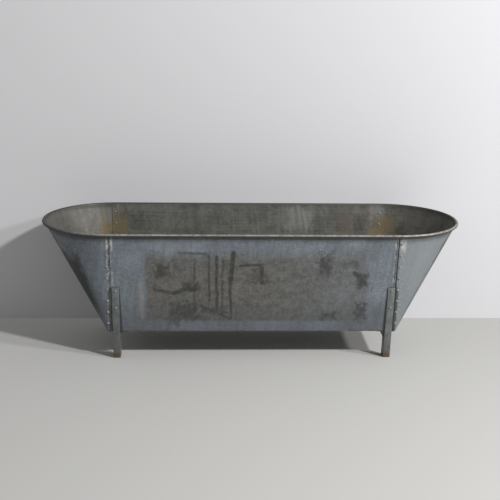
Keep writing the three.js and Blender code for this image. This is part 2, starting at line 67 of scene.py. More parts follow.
class Mesh:
    """Small helpers round bmesh operators that several pieces share."""

    @staticmethod
    def everything(bm: bmesh.types.BMesh) -> list:
        """All the verts, edges and faces of a bmesh."""
        return bm.verts[:] + bm.edges[:] + bm.faces[:]

    @staticmethod
    def cut(bm: bmesh.types.BMesh, point: Vector, normal: Vector, clear: bool = True) -> None:
        """Cuts along a plane.

        Args:
            bm: The mesh to cut.
            point: A point on the plane.
            normal: Points to the side that goes, if anything goes.
            clear: Whether that side is removed.
        """
        bmesh.ops.bisect_plane(
            bm,
            geom=Mesh.everything(bm),
            dist=NEAR,
            plane_co=point,
            plane_no=normal,
            clear_outer=clear,
        )

    @staticmethod
    def pull(bm: bmesh.types.BMesh, geom: list, move: tuple) -> list:
        """Extrudes edges or faces and moves what is new.

        Args:
            bm: The mesh.
            geom: Edges only, or faces only.
            move: How far the new verts go.

        Returns:
            The new verts.
        """
        if isinstance(geom[0], bmesh.types.BMEdge):
            made = bmesh.ops.extrude_edge_only(bm, edges=geom)["geom"]
        else:
            made = bmesh.ops.extrude_face_region(bm, geom=geom)["geom"]
        verts = [g for g in made if isinstance(g, bmesh.types.BMVert)]
        bmesh.ops.translate(bm, vec=move, verts=verts)
        return verts

    @staticmethod
    def draw(bm: bmesh.types.BMesh, vert: bmesh.types.BMVert, moves: Iterable) -> bmesh.types.BMVert:
        """Draws a run of edges.

        Args:
            bm: The mesh.
            vert: Where it starts.
            moves: The way from each vert to the next.

        Returns:
            The last vert.
        """
        for move in moves:
            vert = bmesh.ops.extrude_vert_indiv(bm, verts=[vert])["verts"][0]
            bmesh.ops.translate(bm, vec=move, verts=[vert])
        return vert

    @staticmethod
    def between(bm: bmesh.types.BMesh, verts: Iterable) -> list:
        """The edges whose two ends are both among some verts."""
        chosen = set(verts)
        return [e for e in bm.edges if e.verts[0] in chosen and e.verts[1] in chosen]

    @staticmethod
    def bevel(bm: bmesh.types.BMesh, edges: Iterable, width: float, segments: int = 2) -> None:
        """Rounds edges.

        Args:
            bm: The mesh.
            edges: The edges to round.
            width: Size of the rounding.
            segments: Steps across it.
        """
        bmesh.ops.bevel(
            bm,
            geom=list(edges),
            offset=width,
            offset_type="OFFSET",
            segments=segments,
            profile=0.5,
            affect="EDGES",
            clamp_overlap=True,
            material=-1,
        )

    @staticmethod
    def crisp_edges(bm: bmesh.types.BMesh, degrees: float = 40.0) -> list:
        """The edges where two faces meet at more than an angle.

        Args:
            bm: The mesh.
            degrees: The angle.

        Returns:
            The edges.
        """
        bm.normal_update()
        limit = math.radians(degrees)
        return [e for e in bm.edges if e.is_manifold and e.calc_face_angle(0.0) > limit]

    @staticmethod
    def finish(
        bm: bmesh.types.BMesh,
        name: str,
        material: bpy.types.Material,
        slot: str,
        nodes: Sequence[str],
        smooth_angle: float = 35.0,
        inside: bpy.types.Material | None = None,
    ) -> bpy.types.Object:
        """Turns a bmesh into a shown piece that stands for CAD nodes.

        Args:
            bm: The finished mesh, in the shared frame. It is freed.
            name: The piece's name.
            material: Its finish.
            slot: The record's material slot; not used.
            nodes: The CAD nodes it stands for.
            smooth_angle: Faces that meet at less than this, in degrees, shade as one.
            inside: A second finish, for the inner wall of a sheet.

        Returns:
            The new object.
        """
        mesh = bpy.data.meshes.new(name)
        bm.to_mesh(mesh)
        bm.free()
        mesh.polygons.foreach_set("use_smooth", [True] * len(mesh.polygons))
        mesh.set_sharp_from_angle(angle=math.radians(smooth_angle))
        for one in (material, inside):
            if one is not None:
                mesh.materials.append(one)
        piece = bpy.data.objects.new(name, mesh)
        bpy.context.scene.collection.objects.link(piece)
        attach(piece, "root")
        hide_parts(*nodes)
        log.info("%s: %d faces, stands for %s", name, len(mesh.polygons), ", ".join(nodes))
        return piece


# ---------------------------------------------------------------- the form of the tub


@dataclass(frozen=True)
class Level:
    """One ring of the tub: four quarter circles joined by straight runs."""

    z: float
    centre_x: float
    centre_y: float
    radius: float


class Zone(Enum):
    """The parts of a ring."""

    FRONT_LEFT = (-1, -1)
    FRONT_RIGHT = (1, -1)
    BACK_LEFT = (-1, 1)
    BACK_RIGHT = (1, 1)
    FRONT = (0, -1)
    BACK = (0, 1)
    LEFT = (-1, 0)
    RIGHT = (1, 0)


@dataclass
class TubForm:
    """The outer face of the tub, from its bottom round the rolled rim."""

    top: float = 0.565
    half_length: float = 0.9
    half_width: float = 0.302
    bottom: float = 0.123
    bottom_half_length: float = 0.61
    bottom_half_width: float = 0.226
    corner_radius: float = 0.010
    fold_radius: float = 0.006
    sheet: float = 0.0015
    gap: float = 0.0003
    wire_inset: float = 0.006833
    roll_radius: float = 0.0051
    roll_start: float = 196.0
    roll_end: float = -120.0
    roll_steps: int = 16
    neck: float = 0.5433
    lap_edge: float = 0.597
    rim_joint: float = 0.608
    inner_lap_low: float = 0.618
    inner_lap_high: float = 0.623
    arc_steps: int = 24
    side_cuts: int = 58
    end_cuts: int = 15
    wall_cuts: int = 27
    fold_steps: int = 5
    lap_slant: float = 1.04
    merge: float = 2e-5

    @property
    def wire_z(self) -> float:
        """Height of the rod's centre."""
        return self.top - self.wire_inset

    @property
    def wire_reach(self) -> float:
        """Plan radius of the rod's half circles."""
        return self.half_width - self.wire_inset

    @property
    def end_centre(self) -> float:
        """Distance of the half circles' centres from the middle."""
        return self.half_length - self.half_width

    @property
    def lap_offset(self) -> float:
        """How far an end sheet lies outside the body."""
        return self.sheet + self.gap

    @property
    def side_lean(self) -> float:
        """The slope of the sides from upright, in radians."""
        rise = self.wire_z - self.bottom
        return math.atan2(self.wire_reach - self.roll_radius - self.bottom_half_width, rise)

    def wall_level(self, z: float, offset: float) -> Level:
        """A ring on the sloping wall.

        Args:
            z: Its height.
            offset: How far outside the body's outer face it lies.

        Returns:
            The ring.
        """
        share = (z - self.bottom) / (self.wire_z - self.bottom)
        low_x = self.bottom_half_length - self.corner_radius
        low_y = self.bottom_half_width - self.corner_radius
        high_radius = self.wire_reach - self.roll_radius
        return Level(
            z,
            low_x + (self.end_centre - low_x) * share,
            low_y * (1 - share),
            self.corner_radius + (high_radius - self.corner_radius) * share + offset * self.lap_slant,
        )

    def levels(self, offset: float) -> tuple[list[Level], list[Level]]:
        """The rings below and above the plain wall.

        Args:
            offset: How far outside the body's outer face the wall lies.

        Returns:
            The rings of the bottom fold, and those of the neck and the rolled rim.
        """
        turn = math.pi / 2 - self.side_lean
        low_z = self.bottom + self.fold_radius * (1 - math.cos(turn))
        wall = self.wall_level(low_z, offset)
        flat_radius = self.corner_radius - self.fold_radius * math.tan(turn / 2) + offset
        flat_x = self.bottom_half_length - self.corner_radius
        flat_y = self.bottom_half_width - self.corner_radius
        fold = []
        for i in range(self.fold_steps + 1):
            angle = turn * i / self.fold_steps
            share = math.sin(angle) / math.sin(turn)
            fold.append(
                Level(
                    self.bottom - offset + (self.fold_radius + offset) * (1 - math.cos(angle)),
                    flat_x + (wall.centre_x - flat_x) * share,
                    flat_y + (wall.centre_y - flat_y) * share,
                    flat_radius + (wall.radius - flat_radius) * share,
                )
            )
        rim = [self.wall_level(self.neck, offset)]
        degrees = self.roll_start
        while degrees >= self.roll_end:
            angle = math.radians(degrees)
            rim.append(
                Level(
                    self.wire_z + self.roll_radius * math.sin(angle),
                    self.end_centre,
                    0.0,
                    self.wire_reach + self.roll_radius * math.cos(angle),
                )
            )
            degrees -= (self.roll_start - self.roll_end) / self.roll_steps
        return fold, rim

    def first_ring(self, bm: bmesh.types.BMesh, level: Level) -> list:
        """Draws a ring and marks each vert's zone.

        Args:
            bm: An empty bmesh.
            level: The ring.

        Returns:
            Its edges.
        """
        zone = bm.verts.layers.int.new("zone")
        arcs = {}
        for sx, sy in ((1, 1), (-1, 1), (-1, -1), (1, -1)):
            centre = Vector((sx * level.centre_x, sy * level.centre_y, level.z))
            start = {(1, 1): 0, (-1, 1): 90, (-1, -1): 180, (1, -1): 270}[sx, sy]
            away = Matrix.Rotation(math.radians(start), 3, "Z") @ Vector((level.radius, 0, 0))
            before = set(bm.verts)
            vert = bmesh.ops.create_vert(bm, co=centre + away)["vert"][0]
            bmesh.ops.spin(
                bm,
                geom=[vert],
                cent=centre,
                axis=(0, 0, 1),
                angle=math.pi / 2,
                steps=self.arc_steps,
            )
            for v in set(bm.verts) - before:
                v[zone] = list(Zone).index(Zone((sx, sy)))
            turned = Matrix.Rotation(math.pi / 2, 3, "Z") @ away
            arcs[sx, sy] = (centre + away, centre + turned)
        runs = (
            ((1, 1), (-1, 1), Zone.BACK, self.side_cuts),
            ((-1, 1), (-1, -1), Zone.LEFT, self.end_cuts),
            ((-1, -1), (1, -1), Zone.FRONT, self.side_cuts),
            ((1, -1), (1, 1), Zone.RIGHT, self.end_cuts),
        )
        for one, other, name, cuts in runs:
            ends = (arcs[one][1], arcs[other][0])
            edge = bm.edges.new([min(bm.verts, key=lambda v: (v.co - p).length) for p in ends])
            made = bmesh.ops.subdivide_edges(bm, edges=[edge], cuts=cuts)["geom_inner"]
            for v in made:
                if isinstance(v, bmesh.types.BMVert):
                    v[zone] = list(Zone).index(name)
        return bm.edges[:]

    def raise_ring(self, bm: bmesh.types.BMesh, edges: list, old: Level, new: Level) -> list:
        """Extrudes a ring and moves the new one into place.

        Args:
            bm: The tub so far.
            edges: The edges of its last ring.
            old: That ring.
            new: The ring to make.

        Returns:
            The edges of the new ring.
        """
        zone = bm.verts.layers.int["zone"]
        verts = Mesh.pull(bm, edges, (0, 0, 0))
        stretch_x = new.centre_x / old.centre_x
        stretch_y = new.centre_y / old.centre_y if old.centre_y > 1e-9 else 1.0
        swell = new.radius / old.radius
        for index, name in enumerate(Zone):
            sx, sy = name.value
            group = [v for v in verts if v[zone] == index]
            if sx and sy:
                centre = Vector((sx * old.centre_x, sy * old.centre_y, 0))
                size = (swell, swell, 1)
                move = (sx * (new.centre_x - old.centre_x), sy * (new.centre_y - old.centre_y))
            elif sy:
                centre = Vector((0, sy * (old.centre_y + old.radius), 0))
                size = (stretch_x, 1, 1)
                move = (0, sy * (new.centre_y + new.radius - old.centre_y - old.radius))
            else:
                centre = Vector((sx * (old.centre_x + old.radius), 0, 0))
                size = (1, stretch_y, 1)
                move = (sx * (new.centre_x + new.radius - old.centre_x - old.radius), 0)
            bmesh.ops.scale(bm, vec=size, space=Matrix.Translation(-centre), verts=group)
            bmesh.ops.translate(bm, vec=(*move, new.z - old.z), verts=group)
        return Mesh.between(bm, verts)

    def skin(self, offset: float = 0.0) -> bmesh.types.BMesh:
        """The whole outer face as one open mesh.

        Args:
            offset: How far outside the body's outer face the wall and bottom lie.

        Returns:
            A new bmesh with its faces pointing outwards.
        """
        bm = bmesh.new()
        fold, rim = self.levels(offset)
        edges = self.first_ring(bm, fold[0])
        bmesh.ops.contextual_create(bm, geom=edges)
        for old, new in zip(fold, fold[1:]):
            edges = self.raise_ring(bm, edges, old, new)
        below = {v for e in edges for v in e.verts}
        edges = self.raise_ring(bm, edges, fold[-1], rim[0])
        above = {v for e in edges for v in e.verts}
        upright = [e for v in below for e in v.link_edges if e.other_vert(v) in above]
        for old, new in zip(rim, rim[1:]):
            edges = self.raise_ring(bm, edges, old, new)
        bmesh.ops.subdivide_edges(bm, edges=upright, cuts=self.wall_cuts, use_grid_fill=True)
        bmesh.ops.remove_doubles(bm, verts=bm.verts[:], dist=self.merge)
        bmesh.ops.dissolve_degenerate(bm, edges=bm.edges[:], dist=NEAR)
        bm.normal_update()
        side = min(bm.faces, key=lambda f: (f.calc_center_median() - Vector((0, -0.25, 0.3))).length)
        if side.normal.y > 0:
            bmesh.ops.reverse_faces(bm, faces=bm.faces[:])
        return bm


# ---------------------------------------------------------------- node building

Color = tuple[float, float, float]
Socket = bpy.types.NodeSocket


def link_or_set(tree: bpy.types.NodeTree, socket: Socket, value: object) -> None:
    """Links a socket to another one, or sets its value.

    Args:
        tree: The node tree.
        socket: The input.
        value: An output socket, a number, or a tuple.
    """
    if isinstance(value, bpy.types.NodeSocket):
        tree.links.new(value, socket)
    elif isinstance(value, tuple) and socket.type == "RGBA":
        socket.default_value = (*value, 1.0)
    else:
        socket.default_value = value


@dataclass
class Graph:
    """Short names for the nodes that the finishes are made of."""

    tree: bpy.types.NodeTree

    def node(self, kind: str, settings: dict | None = None, **inputs: object) -> bpy.types.Node:
        """Adds a node.

        Args:
            kind: Its type.
            settings: Its own properties.
            **inputs: Its inputs by name, with underscores for spaces.

        Returns:
            The node.
        """
        made = self.tree.nodes.new(kind)
        for key, value in (settings or {}).items():
            setattr(made, key, value)
        for key, value in inputs.items():
            link_or_set(self.tree, made.inputs[key.replace("_", " ")], value)
        return made

    def math(self, operation: str, *values: object) -> Socket:
        """A Math node's result.

        Args:
            operation: What it does.
            *values: Numbers or sockets.

        Returns:
            Its output.
        """
        made = self.node("ShaderNodeMath", {"operation": operation})
        for socket, value in zip(made.inputs, values):
            link_or_set(self.tree, socket, value)
        return made.outputs[0]

    def mul(self, one: object, other: object) -> Socket:
        """A product."""
        return self.math("MULTIPLY", one, other)

    def add(self, one: object, other: object) -> Socket:
        """A sum."""
        return self.math("ADD", one, other)

    def sub(self, one: object, other: object) -> Socket:
        """A difference."""
        return self.math("SUBTRACT", one, other)

    def size(self, value: object) -> Socket:
        """A value without its sign."""
        return self.math("ABSOLUTE", value)

    def link(self, given: Socket, taken: Socket) -> None:
        """Joins an output to an input."""
        self.tree.links.new(given, taken)

    def vector(self, operation: str, *values: object) -> bpy.types.Node:
        """A Vector Math node.

        Args:
            operation: What it does.
            *values: Tuples or sockets.

        Returns:
            The node.
        """
        made = self.node("ShaderNodeVectorMath", {"operation": operation})
        for socket, value in zip(made.inputs, values):
            link_or_set(self.tree, socket, value)
        return made

    def noise(
        self, vector: object, scale: object, detail: float = 4.0, rough: float = 0.55, distort: float = 0.0
    ) -> Socket:
        """Noise between about 0.2 and 0.8.

        Args:
            vector: Where it is read.
            scale: How close its features lie.
            detail: How many finer layers it has.
            rough: How strong those layers are.
            distort: How much it is stirred.

        Returns:
            The noise.
        """
        return self.node(
            "ShaderNodeTexNoise",
            None,
            Vector=vector,
            Scale=scale,
            Detail=detail,
            Roughness=rough,
            Distortion=distort,
        ).outputs["Fac"]

    def stretch(self, vector: object, x: float, y: float, z: float) -> Socket:
        """A vector with each axis multiplied."""
        return self.vector("MULTIPLY", vector, (x, y, z)).outputs[0]

    def shift(self, vector: object, x: float, y: float, z: float) -> Socket:
        """A vector moved."""
        return self.vector("ADD", vector, (x, y, z)).outputs[0]

    def ease(
        self, value: object, low: object, high: object, to_low: object = 0.0, to_high: object = 1.0
    ) -> Socket:
        """A value carried smoothly from one range to another.

        Args:
            value: The value.
            low: Where the change starts.
            high: Where it ends.
            to_low: What comes out at the start.
            to_high: What comes out at the end.

        Returns:
            The result.
        """
        made = self.node("ShaderNodeMapRange", {"interpolation_type": "SMOOTHSTEP", "clamp": True})
        for name, given in (
            ("Value", value),
            ("From Min", low),
            ("From Max", high),
            ("To Min", to_low),
            ("To Max", to_high),
        ):
            link_or_set(self.tree, made.inputs[name], given)
        return made.outputs[0]

    def blend(self, factor: object, one: object, other: object) -> Socket:
        """Two colours mixed.

        Args:
            factor: How much of the other.
            one: The colour below.
            other: The colour laid over it.

        Returns:
            The mixed colour.
        """
        made = self.node("ShaderNodeMix", {"data_type": "RGBA", "clamp_factor": True})
        link_or_set(self.tree, made.inputs[0], factor)
        link_or_set(self.tree, made.inputs[6], one)
        link_or_set(self.tree, made.inputs[7], other)
        return made.outputs[2]

    def axes(self, vector: object) -> tuple[Socket, Socket, Socket]:
        """A vector's three parts."""
        made = self.node("ShaderNodeSeparateXYZ", None, Vector=vector)
        return made.outputs[0], made.outputs[1], made.outputs[2]

    def use(self, group: bpy.types.NodeTree, **inputs: object) -> bpy.types.Node:
        """Places a node group.

        Args:
            group: The group.
            **inputs: Its inputs by name.

        Returns:
            The node that holds it.
        """
        made = self.tree.nodes.new("ShaderNodeGroup")
        made.node_tree = group
        for key, value in inputs.items():
            link_or_set(self.tree, made.inputs[key], value)
        return made

    def most(self, *values: Socket) -> Socket:
        """The greatest of several masks.

        Args:
            *values: The masks.

        Returns:
            The greatest at each place.
        """
        best = values[0]
        for value in values[1:]:
            best = self.math("MAXIMUM", best, value)
        return best


def new_group(name: str, inputs: dict[str, object], outputs: dict[str, str]) -> tuple[Graph, dict, dict]:
    """Starts a node group.

    Args:
        name: Its name.
        inputs: Each input's default: a number, a colour or vector as a tuple, or "vector".
        outputs: Each output's socket type.

    Returns:
        Its graph, the sockets that give its inputs, and those that take its outputs.
    """
    tree = bpy.data.node_groups.new(name, "ShaderNodeTree")
    for key, default in inputs.items():
        if default == "vector" or key in ("From", "To", "Centre", "Half"):
            socket = tree.interface.new_socket(key, in_out="INPUT", socket_type="NodeSocketVector")
            if default != "vector":
                socket.default_value = default
        elif isinstance(default, tuple):
            socket = tree.interface.new_socket(key, in_out="INPUT", socket_type="NodeSocketColor")
            socket.default_value = (*default, 1.0)
        else:
            socket = tree.interface.new_socket(key, in_out="INPUT", socket_type="NodeSocketFloat")
            socket.default_value = default
    for key, kind in outputs.items():
        tree.interface.new_socket(key, in_out="OUTPUT", socket_type=kind)
    given = tree.nodes.new("NodeGroupInput")
    taken = tree.nodes.new("NodeGroupOutput")
    return (
        Graph(tree),
        {s.name: s for s in given.outputs if s.name},
        {s.name: s for s in taken.inputs if s.name},
    )


class Groups:
    """The node groups that more than one finish uses, each built once."""

    def __init__(self) -> None:
        """Builds every group."""
        self.stroke = self.make_stroke()
        self.patch = self.make_patch()
        self.patina = self.make_patina()
        self.runs = self.make_runs()
        self.rust = self.make_rust()

    def make_stroke(self) -> bpy.types.NodeTree:
        """A soft line between two places, for streaks and drips.

        Returns:
            The node group.
        """
        g, given, taken = new_group(
            "stroke",
            {"Vector": "vector", "From": (0, 0, 0), "To": (0, 0, 1), "Radius": 0.005, "Soft": 0.004},
            {"Mask": "NodeSocketFloat"},
        )
        along = g.vector("SUBTRACT", given["To"], given["From"]).outputs[0]
        away = g.vector("SUBTRACT", given["Vector"], given["From"]).outputs[0]
        share = g.math(
            "DIVIDE",
            g.vector("DOT_PRODUCT", away, along).outputs["Value"],
            g.vector("DOT_PRODUCT", along, along).outputs["Value"],
        )
        held = g.node("ShaderNodeClamp", None, Value=share).outputs[0]
        scaled = g.node("ShaderNodeVectorMath", {"operation": "SCALE"})
        g.link(along, scaled.inputs[0])
        g.link(held, scaled.inputs["Scale"])
        off = g.vector("SUBTRACT", away, scaled.outputs[0]).outputs[0]
        distance = g.vector("LENGTH", off).outputs["Value"]
        outer = g.add(given["Radius"], given["Soft"])
        inner = g.sub(given["Radius"], given["Soft"])
        g.link(g.ease(distance, outer, inner), taken["Mask"])
        return g.tree

    def make_patch(self) -> bpy.types.NodeTree:
        """A patch with a ragged edge round a box-like place.

        Returns:
            The node group.
        """
        g, given, taken = new_group(
            "patch",
            {
                "Vector": "vector",
                "Centre": (0, 0, 0),
                "Half": (0.1, 0.1, 0.1),
                "Ragged": 0.5,
                "Grain": 18.0,
                "Soft": 0.25,
            },
            {"Mask": "NodeSocketFloat"},
        )
        off = g.vector("SUBTRACT", given["Vector"], given["Centre"]).outputs[0]
        share = g.vector("ABSOLUTE", g.vector("DIVIDE", off, given["Half"]).outputs[0]).outputs[0]
        x, y, z = g.axes(share)
        far = g.most(g.most(x, y), z)
        rough = g.noise(given["Vector"], given["Grain"], 5.0, 0.6)
        push = g.mul(g.sub(rough, 0.5), given["Ragged"])
        edge = g.add(far, g.mul(push, 2.0))
        high = g.add(1.0, given["Soft"])
        low = g.sub(1.0, given["Soft"])
        g.link(g.ease(edge, high, low), taken["Mask"])
        return g.tree

    def make_patina(self) -> bpy.types.NodeTree:
        """Weathered zinc: cloudy patches, a fine spangle, scuffs and pale flecks.

        Returns:
            The node group.
        """
        g, given, taken = new_group(
            "zinc_patina",
            {
                "Vector": "vector",
                "Light": (0.2, 0.2, 0.2),
                "Dark": (0.1, 0.1, 0.1),
                "Cloud": 7.0,
                "Fleck": 0.35,
            },
            {"Color": "NodeSocketColor", "Height": "NodeSocketFloat", "Rough": "NodeSocketFloat"},
        )
        place = given["Vector"]
        cloud = g.noise(place, given["Cloud"], 6.0, 0.62, 0.3)
        fine = g.noise(place, 90.0, 4.0, 0.7)
        spangle = g.node(
            "ShaderNodeTexVoronoi", {"feature": "F1"}, Vector=place, Scale=120.0, Randomness=1.0
        ).outputs["Color"]
        crystal, _, _ = g.axes(spangle)
        tone = g.add(g.mul(cloud, 1.0), g.mul(fine, 0.55))
        tone = g.add(tone, g.mul(crystal, 0.12))
        color = g.blend(g.ease(tone, 0.55, 1.12), given["Dark"], given["Light"])
        fleck = g.ease(g.noise(place, 210.0, 3.0, 0.8), 0.66, 0.74)
        fleck = g.mul(fleck, given["Fleck"])
        pale = g.blend(0.5, given["Light"], (0.42, 0.42, 0.4))
        color = g.blend(fleck, color, pale)
        pit = g.ease(g.noise(g.shift(place, 3, 1, 2), 160.0, 3.0, 0.8), 0.36, 0.28)
        color = g.blend(g.mul(pit, 0.5), color, (0.04, 0.04, 0.038))
        g.link(color, taken["Color"])
        high = g.sub(g.add(g.mul(fine, 0.5), fleck), pit)
        g.link(high, taken["Height"])
        g.link(g.ease(cloud, 0.3, 0.7, 0.62, 0.46), taken["Rough"])
        return g.tree

    def make_runs(self) -> bpy.types.NodeTree:
        """Streaks that run down a wall, and faint level lines.

        Returns:
            The node group.
        """
        g, given, taken = new_group(
            "runs",
            {"Vector": "vector", "Width": 60.0, "Seed": 0.0},
            {"Down": "NodeSocketFloat", "Level": "NodeSocketFloat"},
        )
        x, y, z = g.axes(given["Vector"])
        wobble = g.mul(g.noise(given["Vector"], 9.0, 2.0), 0.02)
        side = g.add(g.add(x, wobble), g.mul(y, 0.9))
        down = g.node("ShaderNodeCombineXYZ", None, X=g.mul(side, given["Width"]))
        g.link(g.mul(z, 3.0), down.inputs["Z"])
        g.link(given["Seed"], down.inputs["Y"])
        streak = g.noise(down.outputs[0], 1.0, 4.0, 0.6)
        level = g.node("ShaderNodeCombineXYZ", None, X=g.mul(side, 3.0))
        g.link(g.mul(z, 150.0), level.inputs["Z"])
        g.link(given["Seed"], level.inputs["Y"])
        line = g.noise(level.outputs[0], 1.0, 3.0, 0.6)
        g.link(g.ease(streak, 0.42, 0.68), taken["Down"])
        g.link(g.ease(line, 0.42, 0.66), taken["Level"])
        return g.tree

    def make_rust(self) -> bpy.types.NodeTree:
        """Rust that gathers where a mask lets it.

        Returns:
            The node group.
        """
        g, given, taken = new_group(
            "rust",
            {"Vector": "vector", "Color": (0.1, 0.1, 0.1), "Amount": 0.0, "Scale": 40.0},
            {"Color": "NodeSocketColor", "Mask": "NodeSocketFloat"},
        )
        spread = g.noise(given["Vector"], given["Scale"], 6.0, 0.65)
        grain = g.noise(given["Vector"], 170.0, 3.0, 0.7)
        low = g.sub(0.95, given["Amount"])
        mask = g.ease(g.add(spread, g.mul(grain, 0.25)), low, g.add(low, 0.28))
        mask = g.mul(mask, g.ease(given["Amount"], 0.0, 0.15))
        rust = g.blend(grain, (0.045, 0.022, 0.012), (0.20, 0.115, 0.048))
        g.link(g.blend(g.mul(mask, 0.85), given["Color"], rust), taken["Color"])
        g.link(mask, taken["Mask"])
        return g.tree


# ---------------------------------------------------------------- finishes


@dataclass(frozen=True)
class Finish:
    """What every finish shares: its name and its shader's plain values."""

    name: str
    metallic: float = 0.35
    roughness: float = 0.55
    bump: float = 0.25
    depth: float = 0.0006

    def start(self) -> tuple[bpy.types.Material, Graph, bpy.types.Node, Socket]:
        """Makes the material.

        Returns:
            The material, its graph, its shader and the Object coordinates.
        """
        material = bpy.data.materials.new(self.name)
        material.use_nodes = True
        tree = material.node_tree
        bsdf = tree.nodes["Principled BSDF"]
        bsdf.inputs["Metallic"].default_value = self.metallic
        bsdf.inputs["Roughness"].default_value = self.roughness
        place = tree.nodes.new("ShaderNodeTexCoord").outputs["Object"]
        return material, Graph(tree), bsdf, place

    def end(
        self, g: Graph, bsdf: bpy.types.Node, color: Socket, height: Socket, rough: Socket | None = None
    ) -> None:
        """Joins colour, relief and roughness to the shader.

        Args:
            g: The material's graph.
            bsdf: Its shader.
            color: The base colour.
            height: The relief.
            rough: The roughness, if it changes over the surface.
        """
        g.link(color, bsdf.inputs["Base Color"])
        bump = g.node("ShaderNodeBump", None, Strength=self.bump, Distance=self.depth, Height=height)
        g.link(bump.outputs[0], bsdf.inputs["Normal"])
        if rough is not None:
            g.link(rough, bsdf.inputs["Roughness"])


@dataclass(frozen=True)
class Mark:
    """A streak from one place to another on the front or back, in the plane of X and Z."""

    x0: float
    z0: float
    x1: float
    z1: float
    radius: float
    strength: float = 1.0
    soft: float = 0.004


@dataclass(frozen=True)
class Blot:
    """A ragged patch on the front, in the plane of X and Z."""

    x: float
    z: float
    half_x: float
    half_z: float
    strength: float = 1.0


DARK_MARKS = (
    Mark(-0.246, 0.455, -0.250, 0.200, 0.004, 0.75),
    Mark(-0.188, 0.470, -0.184, 0.270, 0.005, 0.8),
    Mark(-0.156, 0.465, -0.150, 0.215, 0.006, 0.9),
    Mark(-0.126, 0.450, -0.132, 0.205, 0.004, 0.8),
    Mark(-0.086, 0.482, -0.094, 0.360, 0.009, 1.0),
    Mark(-0.100, 0.370, -0.092, 0.185, 0.006, 0.9),
    Mark(-0.214, 0.238, -0.100, 0.184, 0.006, 0.9),
    Mark(-0.410, 0.318, -0.330, 0.300, 0.008, 0.8),
    Mark(-0.330, 0.300, -0.255, 0.322, 0.009, 0.9),
    Mark(-0.058, 0.425, 0.036, 0.430, 0.006, 0.9),
    Mark(0.030, 0.428, 0.034, 0.350, 0.008, 0.9),
    Mark(-0.310, 0.482, -0.200, 0.478, 0.005, 0.7),
    Mark(0.420, 0.392, 0.470, 0.345, 0.010, 0.9),
)
DARK_BLOTS = (
    Blot(-0.380, 0.400, 0.030, 0.026, 0.8),
    Blot(-0.265, 0.330, 0.035, 0.018, 0.9),
    Blot(-0.280, 0.215, 0.052, 0.036, 0.85),
    Blot(-0.170, 0.222, 0.050, 0.014, 0.7),
    Blot(-0.330, 0.190, 0.020, 0.040, 0.7),
    Blot(0.296, 0.430, 0.028, 0.048, 0.8),
    Blot(0.400, 0.430, 0.035, 0.015, 0.5),
    Blot(0.455, 0.360, 0.022, 0.030, 0.9),
    Blot(0.456, 0.215, 0.022, 0.036, 0.8),
    Blot(0.320, 0.196, 0.032, 0.018, 0.8),
    Blot(0.020, 0.380, 0.030, 0.030, 0.5),
)
PALE_MARKS = (
    Mark(-0.468, 0.345, -0.463, 0.190, 0.0085, 0.55),
    Mark(-0.535, 0.215, -0.510, 0.160, 0.008, 0.22),
    Mark(-0.510, 0.160, -0.480, 0.145, 0.008, 0.22),
)


